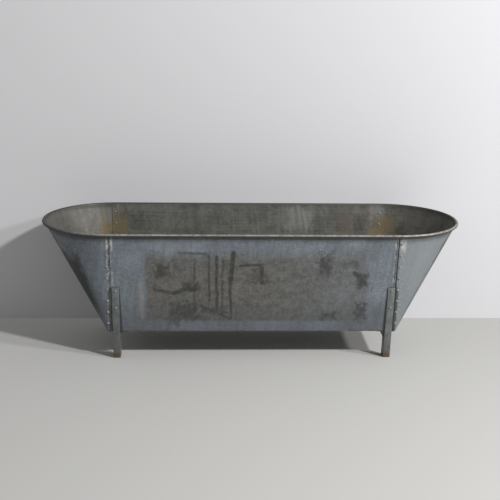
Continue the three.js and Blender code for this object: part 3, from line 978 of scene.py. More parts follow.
@dataclass(frozen=True)
class ZincOutside(Finish):
    """The outer face: blue-grey zinc with a big water stain on the front, drips and pale seams."""

    groups: Groups | None = None
    fresh: Color = (0.228, 0.262, 0.300)
    dull: Color = (0.128, 0.147, 0.168)
    stain_light: Color = (0.160, 0.156, 0.146)
    stain_dark: Color = (0.080, 0.078, 0.071)
    drip: Color = (0.031, 0.030, 0.025)
    tan: Color = (0.29, 0.26, 0.22)
    # painted light on the right end, with whitish marks
    right_end_lit_and_pale: Color = (0.235, 0.258, 0.258)
    lead: Color = (0.47, 0.48, 0.45)
    brushed: Color = (0.26, 0.27, 0.27)
    low_grey: Color = (0.070, 0.074, 0.080)
    # painted shade and dark reflection on the ends, partly stain
    end_shade_and_stain: Color = (0.034, 0.036, 0.026)
    # painted shadow and dark joint line at the lap edge
    seam_edge_shadow: Color = (0.020, 0.018, 0.016)
    # painted shadow beside the legs
    shadow: Color = (0.030, 0.028, 0.026)
    # painted shadow under the rolled rim
    under_rim_shadow: Color = (0.045, 0.042, 0.038)
    bottom: float = 0.123
    wall_height: float = 0.435
    low_centre: float = 0.216
    end_centre: float = 0.6
    seam: float = 0.5968
    leg_edge: float = 0.562

    def make(self) -> bpy.types.Material:
        """Builds the material.

        Returns:
            The material.
        """
        material, g, bsdf, place = self.start()
        x, y, z = g.axes(place)
        flat = g.stretch(place, 1, 0, 1)
        on_front = g.ease(y, -0.19, -0.21)
        base = g.use(
            self.groups.patina, Vector=place, Light=self.fresh, Dark=self.dull, Cloud=5.0, Fleck=0.25
        )
        color = base.outputs["Color"]
        down = g.use(self.groups.runs, Vector=place, Width=55.0, Seed=1.0)
        color = g.blend(g.mul(down.outputs["Down"], 0.28), color, self.stain_dark)

        old = g.use(
            self.groups.patina,
            Vector=g.shift(place, 5, 0, 0),
            Light=self.stain_light,
            Dark=self.stain_dark,
            Cloud=38.0,
            Fleck=0.8,
        )
        ragged = g.mul(g.sub(g.noise(g.stretch(flat, 1, 1, 0.35), 15.0, 8.0, 0.72), 0.5), 0.20)
        top = g.ease(g.add(z, ragged), 0.515, 0.440)
        left = g.ease(g.add(x, g.mul(ragged, 0.16)), -0.458, -0.442)
        right = g.ease(g.add(x, g.mul(ragged, 0.45)), 0.492, 0.455)
        tide = g.ease(g.add(z, g.mul(ragged, 0.06)), 0.166, 0.180)
        stain = g.mul(g.mul(top, left), g.mul(right, tide))
        thin = g.ease(x, 0.05, 0.46, 1.0, 0.68)
        broken = g.ease(g.noise(g.stretch(flat, 1, 1, 0.7), 42.0, 8.0, 0.8), 0.32, 0.52, 0.60, 1.0)
        broken = g.mul(broken, thin)
        stain = g.mul(g.mul(stain, broken), on_front)
        color = g.blend(stain, color, old.outputs["Color"])
        level = g.noise(g.stretch(flat, 0.12, 1, 1), 240.0, 3.0, 0.6)
        upright = g.noise(g.stretch(flat, 1, 1, 0.10), 260.0, 3.0, 0.6)
        brushed = g.most(g.ease(level, 0.56, 0.72), g.ease(upright, 0.57, 0.72))
        color = g.blend(g.mul(g.mul(brushed, on_front), 0.30), color, self.brushed)
        scored = g.most(g.ease(level, 0.44, 0.30), g.ease(upright, 0.43, 0.30))
        color = g.blend(g.mul(g.mul(scored, on_front), 0.35), color, self.drip)

        bent = g.vector("ADD", flat, g.stretch(self.wobble(g, flat), 0.022, 0, 0.010)).outputs[0]
        dark = self.marks(g, bent, DARK_MARKS)
        for blot in DARK_BLOTS:
            patch = g.use(
                self.groups.patch,
                Vector=flat,
                Centre=(blot.x, 0, blot.z),
                Half=(blot.half_x, 1, blot.half_z),
                Ragged=1.9,
                Grain=46.0,
                Soft=0.5,
            ).outputs["Mask"]
            dark = g.most(dark, g.mul(patch, blot.strength))
        patchy = g.ease(g.noise(flat, 48.0, 4.0, 0.7), 0.30, 0.55, 0.35, 1.0)
        dark = g.mul(g.mul(dark, patchy), on_front)
        color = g.blend(g.mul(dark, 0.88), color, self.drip)
        pale = g.mul(self.marks(g, bent, PALE_MARKS), on_front)
        color = g.blend(g.mul(pale, patchy), color, self.tan)

        foot = g.mul(g.ease(z, 0.30, 0.15), 0.46)
        color = g.blend(foot, color, self.low_grey)
        # The right end is made paler: painted light from the lamp on the right, with whitish marks on it.
        color = g.blend(g.ease(x, 0.598, 0.606, 0.0, 0.62), color, self.right_end_lit_and_pale)
        color = self.ends(g, place, color)
        color, raised = self.seams(g, place, color)
        color = self.rim_shade(g, place, color)
        low = g.ease(z, 0.150, 0.122)
        rust = g.use(self.groups.rust, Vector=place, Color=color, Amount=g.mul(low, 0.42), Scale=30.0)
        color = rust.outputs["Color"]
        height = g.add(base.outputs["Height"], raised)
        rough = g.add(base.outputs["Rough"], g.mul(stain, 0.12))
        self.end(g, bsdf, color, height, rough)
        return material

    def wobble(self, g: Graph, vector: Socket) -> Socket:
        """A slow wandering vector about zero."""
        made = g.node("ShaderNodeTexNoise", None, Vector=vector, Scale=11.0, Detail=3.0, Roughness=0.6)
        return g.vector("SUBTRACT", made.outputs["Color"], (0.5, 0.5, 0.5)).outputs[0]

    def marks(self, g: Graph, vector: Socket, marks: Sequence[Mark]) -> Socket:
        """All of a set of streaks as one mask.

        Args:
            g: The material's graph.
            vector: Where the mask is read.
            marks: The streaks.

        Returns:
            The mask.
        """
        found = []
        for mark in marks:
            mask = g.use(
                self.groups.stroke,
                Vector=vector,
                From=(mark.x0, 0, mark.z0),
                To=(mark.x1, 0, mark.z1),
                Radius=mark.radius,
                Soft=mark.soft,
            ).outputs["Mask"]
            found.append(g.mul(mask, mark.strength))
        return g.most(*found)

    def ends(self, g: Graph, place: Socket, color: Socket) -> Socket:
        """Painted shade and dark reflection down the turn of both ends, partly stain.

        Args:
            g: The material's graph.
            place: The Object coordinates.
            color: The colour so far.

        Returns:
            The darkened colour.
        """
        x, y, z = g.axes(place)
        share = g.math("DIVIDE", g.sub(z, self.bottom), self.wall_height)
        centre = g.mul(g.sub(1.0, share), self.low_centre)
        across = g.sub(g.size(y), centre)
        angle = g.math("ARCTAN2", across, g.sub(g.size(x), self.end_centre))
        unrolled = g.node("ShaderNodeCombineXYZ", None, X=angle)
        g.link(g.math("SIGN", x), unrolled.inputs["Y"])
        g.link(g.mul(z, 3.0), unrolled.inputs["Z"])
        for centre_at, half, strength in (
            ((0.60, -1.0, 1.00), (0.36, 0.5, 0.36), 0.92),
            ((0.34, -1.0, 1.38), (0.16, 0.5, 0.16), 0.6),
            ((0.40, 1.0, 1.34), (0.20, 0.5, 0.22), 0.85),
            ((0.55, 1.0, 0.80), (0.20, 0.5, 0.30), 0.30),
        ):
            mask = g.use(
                self.groups.patch,
                Vector=unrolled.outputs[0],
                Centre=centre_at,
                Half=half,
                Ragged=0.7,
                Grain=7.0,
                Soft=0.4,
            ).outputs["Mask"]
            # Painted shade and dark reflection down each end's turn, strongest on the front half.
            facing = g.ease(y, 0.02, -0.06, 0.12, strength)
            color = g.blend(g.mul(mask, facing), color, self.end_shade_and_stain)
        return color

    def seams(self, g: Graph, place: Socket, color: Socket) -> tuple[Socket, Socket]:
        """The pale wiped metal, a painted shadow and dark joint line along the seams, and a painted shadow
        beside the legs.

        Args:
            g: The material's graph.
            place: The Object coordinates.
            color: The colour so far.

        Returns:
            The colour, and how far the wiped metal stands up.
        """
        x, _, z = g.axes(place)
        reach = g.size(x)
        wander = g.mul(g.sub(g.noise(place, 22.0, 4.0, 0.6), 0.5), 0.012)
        at = g.add(reach, wander)
        flow = g.noise(g.stretch(place, 1, 1, 0.35), 85.0, 6.0, 0.75)
        right = g.ease(x, -0.2, 0.2)
        dots = g.noise(g.stretch(place, 1, 1, 0.6), 210.0, 4.0, 0.75)
        left_ribbon = g.mul(g.ease(at, 0.578, 0.583), g.ease(at, 0.610, 0.605))
        right_ribbon = g.mul(g.ease(at, 0.580, 0.584), g.ease(at, 0.596, 0.593))
        ribbon = g.node(
            "ShaderNodeMix", {"data_type": "FLOAT"}, Factor=right, A=left_ribbon, B=right_ribbon
        )
        high = g.ease(z, 0.475, 0.515)
        smear = g.most(g.ease(flow, 0.48, 0.58, 0.0, 0.75), g.mul(g.ease(flow, 0.42, 0.5), high))
        wiped = g.mul(ribbon.outputs["Result"], smear)
        beyond = g.mul(g.ease(at, 0.600, 0.606), g.ease(at, 0.634, 0.622))
        beyond = g.mul(beyond, right)
        speckle = g.mul(g.ease(dots, 0.55, 0.62), 0.75)
        splash = g.most(g.mul(g.ease(flow, 0.42, 0.52), high), speckle)
        wiped = g.most(wiped, g.mul(beyond, splash))
        splat = g.use(
            self.groups.patch,
            Vector=place,
            Centre=(0.535, -0.25, 0.325),
            Half=(0.034, 0.05, 0.030),
            Ragged=0.8,
            Grain=60.0,
            Soft=0.5,
        ).outputs["Mask"]
        wiped = g.most(wiped, g.mul(splat, g.ease(dots, 0.575, 0.64)))
        color = g.blend(wiped, color, self.lead)
        # Painted shadow in the crevice at the lap edge with a dark joint line, full strength at the right
        # seam where the lamp from the right casts it.
        bold = g.mul(g.ease(x, -0.2, 0.2, 0.42, 1.0), g.ease(flow, 0.60, 0.45, 0.6, 1.0))
        waver = g.add(reach, g.mul(wander, 0.22))
        line = g.ease(g.size(g.sub(waver, self.seam)), 0.0036, 0.0020)
        color = g.blend(g.mul(line, bold), color, self.seam_edge_shadow)
        # Painted shadow beside each leg, widening downwards where the leg stands off the sloping side.
        gap = g.ease(z, 0.33, 0.13, 0.0015, 0.0090)
        leg_side = g.add(g.mul(g.math("SIGN", x), 0.003), self.leg_edge)
        inward = g.sub(leg_side, reach)
        beside = g.mul(g.ease(inward, g.add(gap, 0.003), gap), g.ease(inward, -0.05, -0.04))
        beside = g.mul(beside, g.ease(z, 0.335, 0.32))
        color = g.blend(g.mul(beside, 0.78), color, self.shadow)
        return color, g.mul(wiped, 1.5)

    def rim_shade(self, g: Graph, place: Socket, color: Socket) -> Socket:
        """Painted shadow of the rolled rim, a dark band just under it.

        Args:
            g: The material's graph.
            place: The Object coordinates.
            color: The colour so far.

        Returns:
            The colour darkened by the painted shadow.
        """
        _, _, z = g.axes(place)
        # Painted shadow of the rolled rim on the wall just below it.
        rim_shadow_band = g.ease(g.add(z, g.mul(g.noise(place, 30.0, 4.0), 0.02)), 0.530, 0.556)
        return g.blend(g.mul(rim_shadow_band, 0.66), color, self.under_rim_shadow)


@dataclass(frozen=True)
class ZincInside(Finish):
    """The inner face and the rolled rim: olive grey, tide lines, streaks and rust by the seams."""

    groups: Groups | None = None
    light: Color = (0.160, 0.158, 0.142)
    dark: Color = (0.058, 0.058, 0.050)
    warm: Color = (0.118, 0.113, 0.098)
    rim_light: Color = (0.33, 0.315, 0.29)
    rim_dark: Color = (0.16, 0.15, 0.135)
    # painted shade on the rim's underside, back and left end
    rim_shaded_tone: Color = (0.062, 0.060, 0.056)
    pale_run: Color = (0.20, 0.20, 0.18)
    dark_run: Color = (0.045, 0.044, 0.036)
    water_line: Color = (0.19, 0.185, 0.165)
    deep: Color = (0.045, 0.044, 0.038)
    silt: Color = (0.060, 0.050, 0.034)
    rust_haze: Color = (0.168, 0.124, 0.055)
    lap: float = 0.617
    rim_joint: float = 0.608

    def make(self) -> bpy.types.Material:
        """Builds the material.

        Returns:
            The material.
        """
        material, g, bsdf, place = self.start()
        x, y, z = g.axes(place)
        base = g.use(
            self.groups.patina, Vector=place, Light=self.light, Dark=self.dark, Cloud=17.0, Fleck=0.7
        )
        color = base.outputs["Color"]
        runs = g.use(self.groups.runs, Vector=place, Width=70.0, Seed=4.0)
        color = g.blend(g.mul(runs.outputs["Down"], 0.22), color, self.pale_run)
        dark_runs = g.use(self.groups.runs, Vector=place, Width=38.0, Seed=9.0)
        color = g.blend(g.mul(dark_runs.outputs["Down"], 0.34), color, self.dark_run)
        color = g.blend(g.mul(runs.outputs["Level"], 0.30), color, self.water_line)
        deep = g.ease(g.noise(g.stretch(place, 1, 1, 1.6), 7.0, 6.0, 0.7), 0.50, 0.68)
        color = g.blend(g.mul(deep, 0.45), color, self.deep)
        left_end = g.ease(x, -0.55, -0.72)
        color = g.blend(g.mul(left_end, 0.45), color, self.warm)
        for centre_at, half, tone, strength in self.patches():
            mask = g.use(
                self.groups.patch,
                Vector=g.stretch(place, 1, 1, 0.6),
                Centre=centre_at,
                Half=half,
                Ragged=1.3,
                Grain=30.0,
                Soft=0.5,
            ).outputs["Mask"]
            streaked = g.ease(runs.outputs["Down"], 0.1, 0.6, 0.45, 1.0)
            color = g.blend(g.mul(g.mul(mask, streaked), strength), color, tone)
        silt = g.ease(g.add(z, g.mul(g.noise(place, 8.0, 4.0), 0.06)), 0.20, 0.13)
        color = g.blend(g.mul(silt, 0.6), color, self.silt)

        reach = g.size(x)
        straying = g.mul(g.sub(g.noise(g.stretch(place, 1, 1, 0.2), 24.0, 4.0), 0.5), 0.05)
        off_seam = g.add(g.size(g.sub(reach, self.lap)), straying)
        near_seam = g.ease(off_seam, 0.088, 0.040)
        low = g.ease(z, 0.558, 0.452, 0.0, 1.0)
        bloom = g.mul(g.mul(near_seam, low), g.ease(y, 0.0, 0.1, 0.45, 1.0))
        haze = g.mul(bloom, g.ease(g.noise(g.stretch(place, 1, 1, 0.5), 30.0, 5.0, 0.6), 0.30, 0.6))
        color = g.blend(g.mul(haze, 0.85), color, self.rust_haze)
        amount = g.mul(g.math("POWER", bloom, 2.0), 0.36)
        rust = g.use(self.groups.rust, Vector=place, Color=color, Amount=amount, Scale=34.0)
        color = rust.outputs["Color"]

        on_rim = g.ease(g.add(z, g.ease(y, -0.10, 0.14, 0.0, -0.0085)), 0.5485, 0.5530)
        worn = g.noise(place, 55.0, 6.0, 0.75)
        rim = g.blend(g.ease(worn, 0.34, 0.62), self.rim_dark, self.rim_light)
        # Painted highlight along the top of the bead, towards the front and away from the left end;
        # elsewhere the rim takes a painted shaded tone.
        rim_top_highlight = g.mul(g.ease(z, 0.5585, 0.5610), g.ease(y, 0.16, -0.10))
        rim_top_highlight = g.mul(rim_top_highlight, g.ease(x, -0.84, -0.62, 0.15, 1.0))
        rim = g.blend(rim_top_highlight, self.rim_shaded_tone, rim)
        color = g.blend(on_rim, color, rim)
        joint = g.ease(g.size(g.sub(reach, self.rim_joint)), 0.012, 0.002)
        rusty = g.mul(g.mul(joint, on_rim), 0.42)
        spots = g.mul(on_rim, 0.20)
        rust = g.use(self.groups.rust, Vector=place, Color=color, Amount=g.most(rusty, spots), Scale=45.0)
        color = rust.outputs["Color"]
        self.end(g, bsdf, color, base.outputs["Height"], base.outputs["Rough"])
        return material

    def patches(self) -> tuple:
        """The patches on the far wall and in the ends.

        Returns:
            The centre, half sizes, tone and strength of each.
        """
        pale, brown, black = (0.25, 0.255, 0.24), (0.105, 0.082, 0.058), (0.030, 0.030, 0.026)
        return (
            ((0.235, 0.285, 0.300), (0.055, 0.06, 0.030), pale, 0.55),
            ((0.600, 0.285, 0.320), (0.030, 0.06, 0.022), pale, 0.60),
            ((-0.660, 0.240, 0.300), (0.050, 0.08, 0.030), pale, 0.35),
            ((0.455, 0.285, 0.285), (0.030, 0.06, 0.030), brown, 0.80),
            ((0.520, 0.285, 0.280), (0.030, 0.06, 0.026), black, 0.60),
            ((0.360, 0.285, 0.285), (0.040, 0.06, 0.020), black, 0.45),
            ((-0.520, 0.285, 0.290), (0.035, 0.06, 0.024), black, 0.40),
            ((0.780, 0.080, 0.300), (0.090, 0.16, 0.040), (0.165, 0.155, 0.130), 0.50),
        )


@dataclass(frozen=True)
class ZincIron(Finish):
    """Legs and bearers: greenish grey zinc, scuffed, rusty at the feet."""

    groups: Groups | None = None
    light: Color = (0.175, 0.195, 0.195)
    dark: Color = (0.085, 0.098, 0.098)
    scuffed: Color = (0.26, 0.27, 0.26)
    warm: Color = (0.14, 0.115, 0.09)
    foot_height: float = 0.055

    def make(self) -> bpy.types.Material:
        """Builds the material.

        Returns:
            The material.
        """
        material, g, bsdf, place = self.start()
        _, _, z = g.axes(place)
        base = g.use(
            self.groups.patina, Vector=place, Light=self.light, Dark=self.dark, Cloud=24.0, Fleck=0.6
        )
        runs = g.use(self.groups.runs, Vector=place, Width=220.0, Seed=2.0)
        color = g.blend(g.mul(runs.outputs["Down"], 0.3), base.outputs["Color"], self.scuffed)
        warm = g.ease(z, 0.13, 0.04)
        color = g.blend(g.mul(warm, 0.30), color, self.warm)
        foot = g.ease(z, self.foot_height, 0.004, 0.20, 1.0)
        rust = g.use(self.groups.rust, Vector=place, Color=color, Amount=g.mul(foot, 0.62), Scale=38.0)
        self.end(g, bsdf, rust.outputs["Color"], base.outputs["Height"], base.outputs["Rough"])
        return material


@dataclass(frozen=True)
class SmallMetal(Finish):
    """Rivets, solder and the rod: one patina with its own tones and rust."""

    groups: Groups | None = None
    light: Color = (0.22, 0.23, 0.24)
    dark: Color = (0.10, 0.105, 0.11)
    rust: float = 0.2

    def make(self) -> bpy.types.Material:
        """Builds the material.

        Returns:
            The material.
        """
        material, g, bsdf, place = self.start()
        base = g.use(
            self.groups.patina, Vector=place, Light=self.light, Dark=self.dark, Cloud=60.0, Fleck=0.5
        )
        rust = g.use(
            self.groups.rust, Vector=place, Color=base.outputs["Color"], Amount=self.rust, Scale=60.0
        )
        self.end(g, bsdf, rust.outputs["Color"], base.outputs["Height"], base.outputs["Rough"])
        return material


@dataclass(frozen=True)
class Matte(Finish):
    """A plain matte finish for the studio."""

    color: Color = (0.5, 0.5, 0.5)

    def make(self) -> bpy.types.Material:
        """Builds the material.

        Returns:
            The material.
        """
        material, _, bsdf, _ = self.start()
        bsdf.inputs["Base Color"].default_value = (*self.color, 1)
        return material


@dataclass(frozen=True)
class OneSided(Finish):
    """A matte finish that is not there from behind, for the backdrop."""

    color: Color = (0.6, 0.6, 0.6)

    def make(self) -> bpy.types.Material:
        """Builds the material.

        Returns:
            The material.
        """
        material, g, bsdf, _ = self.start()
        bsdf.inputs["Base Color"].default_value = (*self.color, 1)
        clear = g.tree.nodes.new("ShaderNodeBsdfTransparent")
        back = g.tree.nodes.new("ShaderNodeNewGeometry").outputs["Backfacing"]
        seen = g.tree.nodes.new("ShaderNodeLightPath").outputs["Is Camera Ray"]
        back = g.most(back, g.sub(1.0, seen))
        mix = g.tree.nodes.new("ShaderNodeMixShader")
        g.link(back, mix.inputs[0])
        g.link(bsdf.outputs[0], mix.inputs[1])
        g.link(clear.outputs[0], mix.inputs[2])
        g.link(mix.outputs[0], g.tree.nodes["Material Output"].inputs["Surface"])
        return material


# ---------------------------------------------------------------- the tub's sheets


@dataclass
class Tub:
    """The front, back, bottom and end sheets."""

    form: TubForm
    zinc: bpy.types.Material
    inside: bpy.types.Material
    flange: float = 0.013
    step_setback: float = 0.006
    dent: float = 0.0011
    sag: float = 0.0012
    fold_clear: float = 0.03
    neck_clear: float = 0.02
    fade_up: float = 0.06
    seam_middle: float = 0.588
    seam_clear: float = 0.035
    fade_along: float = 0.08

    def thicken(self, piece: bpy.types.Object) -> None:
        """Gives a sheet its thickness, inwards, and eases its edges.

        Args:
            piece: The sheet.
        """
        solid = piece.modifiers.new("thickness", "SOLIDIFY")
        solid.thickness = self.form.sheet
        solid.offset = -1.0
        solid.use_even_offset = False
        solid.material_offset = 1
        ease = piece.modifiers.new("eased_edges", "BEVEL")
        ease.width = 0.0004
        ease.segments = 2
        ease.limit_method = "ANGLE"
        ease.angle_limit = math.radians(50)
        ease.harden_normals = True

    def dent_wall(self, bm: bmesh.types.BMesh) -> None:
        """Presses shallow hollows into the wall, none near the fold, the rim, the seams and the legs.

        Args:
            bm: The sheet.
        """
        form = self.form
        bm.normal_update()
        pushes = []
        for v in bm.verts:
            above_fold = v.co.z - form.bottom - self.fold_clear
            below_neck = form.neck - self.neck_clear - v.co.z
            up = min(above_fold / self.fade_up, below_neck / self.fade_up)
            along = (abs(abs(v.co.x) - self.seam_middle) - self.seam_clear) / self.fade_along
            fade = max(0.0, min(1.0, up)) * max(0.0, min(1.0, along))
            if fade <= 0:
                continue
            hollow = 0.5 + 0.5 * noise.noise(v.co * 5.0) + 0.25 * noise.noise(v.co * 13.0)
            pushes.append((v, v.normal * (-self.dent * fade * max(0.0, hollow))))
        for v, push in pushes:
            v.co += push

    def cut_rim(self, bm: bmesh.types.BMesh, joint: float, keep_inside: bool) -> None:
        """Ends the neck and the rolled rim at a rim joint.

        Args:
            bm: The sheet.
            joint: Distance of the joint from the middle.
            keep_inside: Whether the part towards the middle stays.
        """
        lap_top = self.form.neck - 0.002
        Mesh.cut(bm, Vector((0, 0, lap_top)), Vector((0, 0, 1)), clear=False)
        for side in (-1, 1):
            Mesh.cut(bm, Vector((side * joint, 0, 0)), Vector((side, 0, 0)), clear=False)
        gone = []
        for f in bm.faces:
            middle = f.calc_center_median()
            if middle.z > lap_top and (abs(middle.x) > joint) == keep_inside:
                gone.append(f)
        bmesh.ops.delete(bm, geom=gone, context="FACES")

    def side_sheet(self, name: str, sy: int) -> None:
        """Builds the front or back sheet.

        Args:
            name: Its CAD node.
            sy: -1 at the front, 1 at the back.
        """
        form = self.form
        bm = form.skin()
        self.dent_wall(bm)
        edge = form.bottom_half_width - self.flange
        Mesh.cut(bm, Vector((0, sy * edge, 0)), Vector((0, -sy, 0)))
        run = form.inner_lap_high - form.inner_lap_low
        for side in (-1, 1):
            point = Vector((side * form.inner_lap_low, 0, form.bottom))
            normal = Vector((side * (form.wire_z - form.bottom), 0, -run))
            Mesh.cut(bm, point, normal)
        self.cut_rim(bm, form.rim_joint, True)
        piece = Mesh.finish(bm, f"zinc_{name}", self.zinc, "galvanised_sheet", [name], inside=self.inside)
        self.thicken(piece)

    def end_sheet(self, name: str, sx: int) -> None:
        """Builds one end sheet.

        Args:
            name: Its CAD node.
            sx: -1 on the left, 1 on the right.
        """
        form = self.form
        bm = form.skin(form.lap_offset)
        self.dent_wall(bm)
        Mesh.cut(bm, Vector((sx * form.lap_edge, 0, 0)), Vector((-sx, 0, 0)))
        self.cut_rim(bm, form.rim_joint + form.gap, False)
        piece = Mesh.finish(bm, f"zinc_{name}", self.zinc, "galvanised_sheet", [name], inside=self.inside)
        self.thicken(piece)

    def bottom_sheet(self) -> None:
        """Builds the flat bottom with its stepped ends."""
        form = self.form
        half_x = form.lap_edge - self.step_setback
        half_y = form.bottom_half_width - form.fold_radius
        z = form.bottom + form.lap_offset
        bm = bmesh.new()
        bmesh.ops.create_grid(bm, x_segments=60, y_segments=22, size=1.0)
        bmesh.ops.scale(bm, vec=(half_x, half_y, 1), verts=bm.verts[:])
        bmesh.ops.translate(bm, vec=(0, 0, z), verts=bm.verts[:])
        low_y = form.bottom_half_width - self.flange - form.gap
        for sy in (-1, 1):
            Mesh.cut(bm, Vector((0, sy * low_y, 0)), Vector((0, sy, 0)), clear=False)
        for sx in (-1, 1):
            edges = [
                e
                for e in bm.edges
                if all(v.co.x * sx > half_x - 1e-4 and abs(v.co.y) < low_y + 1e-4 for v in e.verts)
            ]
            moves = ((0, -form.lap_offset), (0.008, 0), (0.006, 0.003), (0.005, 0.008))
            for dx, dz in moves:
                edges = Mesh.between(bm, Mesh.pull(bm, edges, (sx * dx, 0, dz)))
        for v in bm.verts:
            fade = max(0.0, 1 - (abs(v.co.y) / half_y) ** 4) * max(0.0, 1 - (abs(v.co.x) / half_x) ** 8)
            v.co.z += self.sag * fade * noise.noise(v.co * 4.0)
        bmesh.ops.recalc_face_normals(bm, faces=bm.faces[:])
        bm.normal_update()
        middle = min(bm.faces, key=lambda f: f.calc_center_median().xy.length)
        if middle.normal.z > 0:
            bmesh.ops.reverse_faces(bm, faces=bm.faces[:])
        names = ["bottom_sheet"]
        piece = Mesh.finish(
            bm, "zinc_bottom_sheet", self.zinc, "galvanised_sheet", names, inside=self.inside
        )
        self.thicken(piece)

    def build(self) -> None:
        """Builds the five sheets."""
        self.side_sheet("front_sheet", -1)
        self.side_sheet("back_sheet", 1)
        self.end_sheet("left_end_sheet", -1)
        self.end_sheet("right_end_sheet", 1)
        self.bottom_sheet()


# ---------------------------------------------------------------- legs and bearers


@dataclass
class Stand:
    """The angle-iron legs and the bearers under the tub."""

    form: TubForm
    iron: bpy.types.Material
    thickness: float = 0.004
    depth: float = 0.046
    corner_radius: float = 0.005
    leg_heel: float = 0.0022
    bearer_heel: float = 0.002
    root: float = 0.003
    eased: float = 0.0006
    clear_of_tub: float = 0.0006
    below_floor: float = 0.03

    def lay_on_side(self, bm: bmesh.types.BMesh) -> None:
        """Lays a piece drawn against an upright face at Y = 0 on the sloping front side.

        Args:
            bm: The piece.
        """
        lean = self.form.side_lean
        foot = self.form.bottom_half_width - self.form.bottom * math.tan(lean)
        bmesh.ops.rotate(bm, matrix=Matrix.Rotation(lean, 3, "X"), verts=bm.verts[:])
        bmesh.ops.translate(bm, vec=(0, -foot, 0), verts=bm.verts[:])

    def leg(self, corner: str) -> None:
        """Builds one leg.

        Args:
            corner: The corner's name.
        """
        sx, sy = CORNERS[corner]
        low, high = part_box(f"{corner}_leg")
        lean = self.form.side_lean
        half = (high.x - low.x) / 2
        middle = abs(low.x + high.x) / 2
        top = high.z / math.cos(lean)
        under = (self.form.bottom - self.clear_of_tub) / math.cos(lean)
        thick = self.thickness
        bm = bmesh.new()
        corner_vert = bmesh.ops.create_vert(bm, co=(-half, -thick, -self.below_floor))["vert"][0]
        Mesh.draw(bm, corner_vert, ((thick, 0, 0), (2 * half - thick, 0, 0)))
        Mesh.pull(bm, bm.edges[:], (0, thick, 0))
        web = thick - half + NEAR
        inner = [e for e in bm.edges if all(v.co.y > -NEAR and v.co.x < web for v in e.verts)]
        Mesh.pull(bm, inner, (0, self.depth - thick, 0))
        Mesh.pull(bm, bm.faces[:], (0, 0, self.below_floor + under))
        caps = [
            f
            for f in bm.faces
            if all(abs(v.co.z - under) < NEAR for v in f.verts) and f.calc_center_median().y < 0
        ]
        Mesh.pull(bm, caps, (0, 0, top - under))
        bmesh.ops.delete(bm, geom=caps, context="FACES_ONLY")
        bmesh.ops.remove_doubles(bm, verts=bm.verts[:], dist=NEAR)
        bmesh.ops.dissolve_limit(bm, angle_limit=0.01, verts=bm.verts[:], edges=bm.edges[:])
        bmesh.ops.recalc_face_normals(bm, faces=bm.faces[:])
        corners = [
            e
            for e in bm.edges
            if all(abs(v.co.z - top) < NEAR and abs(abs(v.co.x) - half) < NEAR for v in e.verts)
        ]
        Mesh.bevel(bm, corners, self.corner_radius, 4)
        heel = [e for e in bm.edges if self.runs_up(e) and self.at(e, -half, -thick)]
        Mesh.bevel(bm, heel, self.leg_heel, 4)
        root = [e for e in bm.edges if self.runs_up(e) and self.at(e, thick - half, 0.0)]
        Mesh.bevel(bm, root, self.root, 3)
        bmesh.ops.translate(bm, vec=(middle, -self.form.gap, 0), verts=bm.verts[:])
        self.lay_on_side(bm)
        Mesh.cut(bm, Vector((0, 0, 0)), Vector((0, 0, -1)))
        rim = [e for e in bm.edges if e.is_boundary]
        bmesh.ops.edgeloop_fill(bm, edges=rim)
        bmesh.ops.dissolve_limit(bm, angle_limit=0.01, verts=bm.verts[:], edges=bm.edges[:])
        Mesh.bevel(bm, Mesh.crisp_edges(bm), self.eased, 2)
        bmesh.ops.scale(bm, vec=(sx, -sy, 1), verts=bm.verts[:])
        bmesh.ops.recalc_face_normals(bm, faces=bm.faces[:])
        Mesh.finish(bm, f"iron_{corner}_leg", self.iron, "galvanised_angle", [f"{corner}_leg"])

    @staticmethod
    def runs_up(edge: bmesh.types.BMEdge) -> bool:
        """Whether an edge runs along Z."""
        a, b = (v.co for v in edge.verts)
        return abs(a.z - b.z) > 0.01 and (a - b).xy.length < CLOSE

    @staticmethod
    def at(edge: bmesh.types.BMEdge, x: float, y: float) -> bool:
        """Whether an edge along Z stands at a place in plan."""
        return (edge.verts[0].co.xy - Vector((x, y))).length < CLOSE

    def bearer(self, name: str) -> None:
        """Builds one bearer.

        Args:
            name: Its CAD node.
        """
        low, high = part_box(name)
        sx = 1 if low.x > 0 else -1
        outer = high.x if sx > 0 else -low.x
        flange = high.z - low.z
        t = self.thickness
        bm = bmesh.new()
        vert = bmesh.ops.create_vert(bm, co=(outer, low.y, low.z))["vert"][0]
        path = ((0, flange), (-flange, 0), (0, -t), (flange - t, 0), (0, t - flange))
        vert = Mesh.draw(bm, vert, [(dx, 0, dz) for dx, dz in path])
        bm.verts.ensure_lookup_table()
        bm.edges.new((vert, bm.verts[0]))
        bmesh.ops.contextual_create(bm, geom=bm.edges[:])
        Mesh.pull(bm, bm.faces[:], (0, high.y - low.y, 0))
        bmesh.ops.recalc_face_normals(bm, faces=bm.faces[:])
        root = [
            e
            for e in bm.edges
            if all((v.co.xz - Vector((outer - t, high.z - t))).length < CLOSE for v in e.verts)
        ]
        Mesh.bevel(bm, root, self.root, 3)
        heel = [
            e for e in bm.edges if all((v.co.xz - Vector((outer, high.z))).length < CLOSE for v in e.verts)
        ]
        Mesh.bevel(bm, heel, self.bearer_heel, 3)
        Mesh.bevel(bm, Mesh.crisp_edges(bm), self.eased, 2)
        bmesh.ops.scale(bm, vec=(sx, 1, 1), verts=bm.verts[:])
        bmesh.ops.recalc_face_normals(bm, faces=bm.faces[:])
        Mesh.finish(bm, f"iron_{name}", self.iron, "galvanised_angle", [name])

    def build(self) -> None:
        """Builds the four legs and the two bearers."""
        for corner in CORNERS:
            self.leg(corner)
        for name in ("left_bearer", "right_bearer"):
            self.bearer(name)


# ---------------------------------------------------------------- rivets and solder


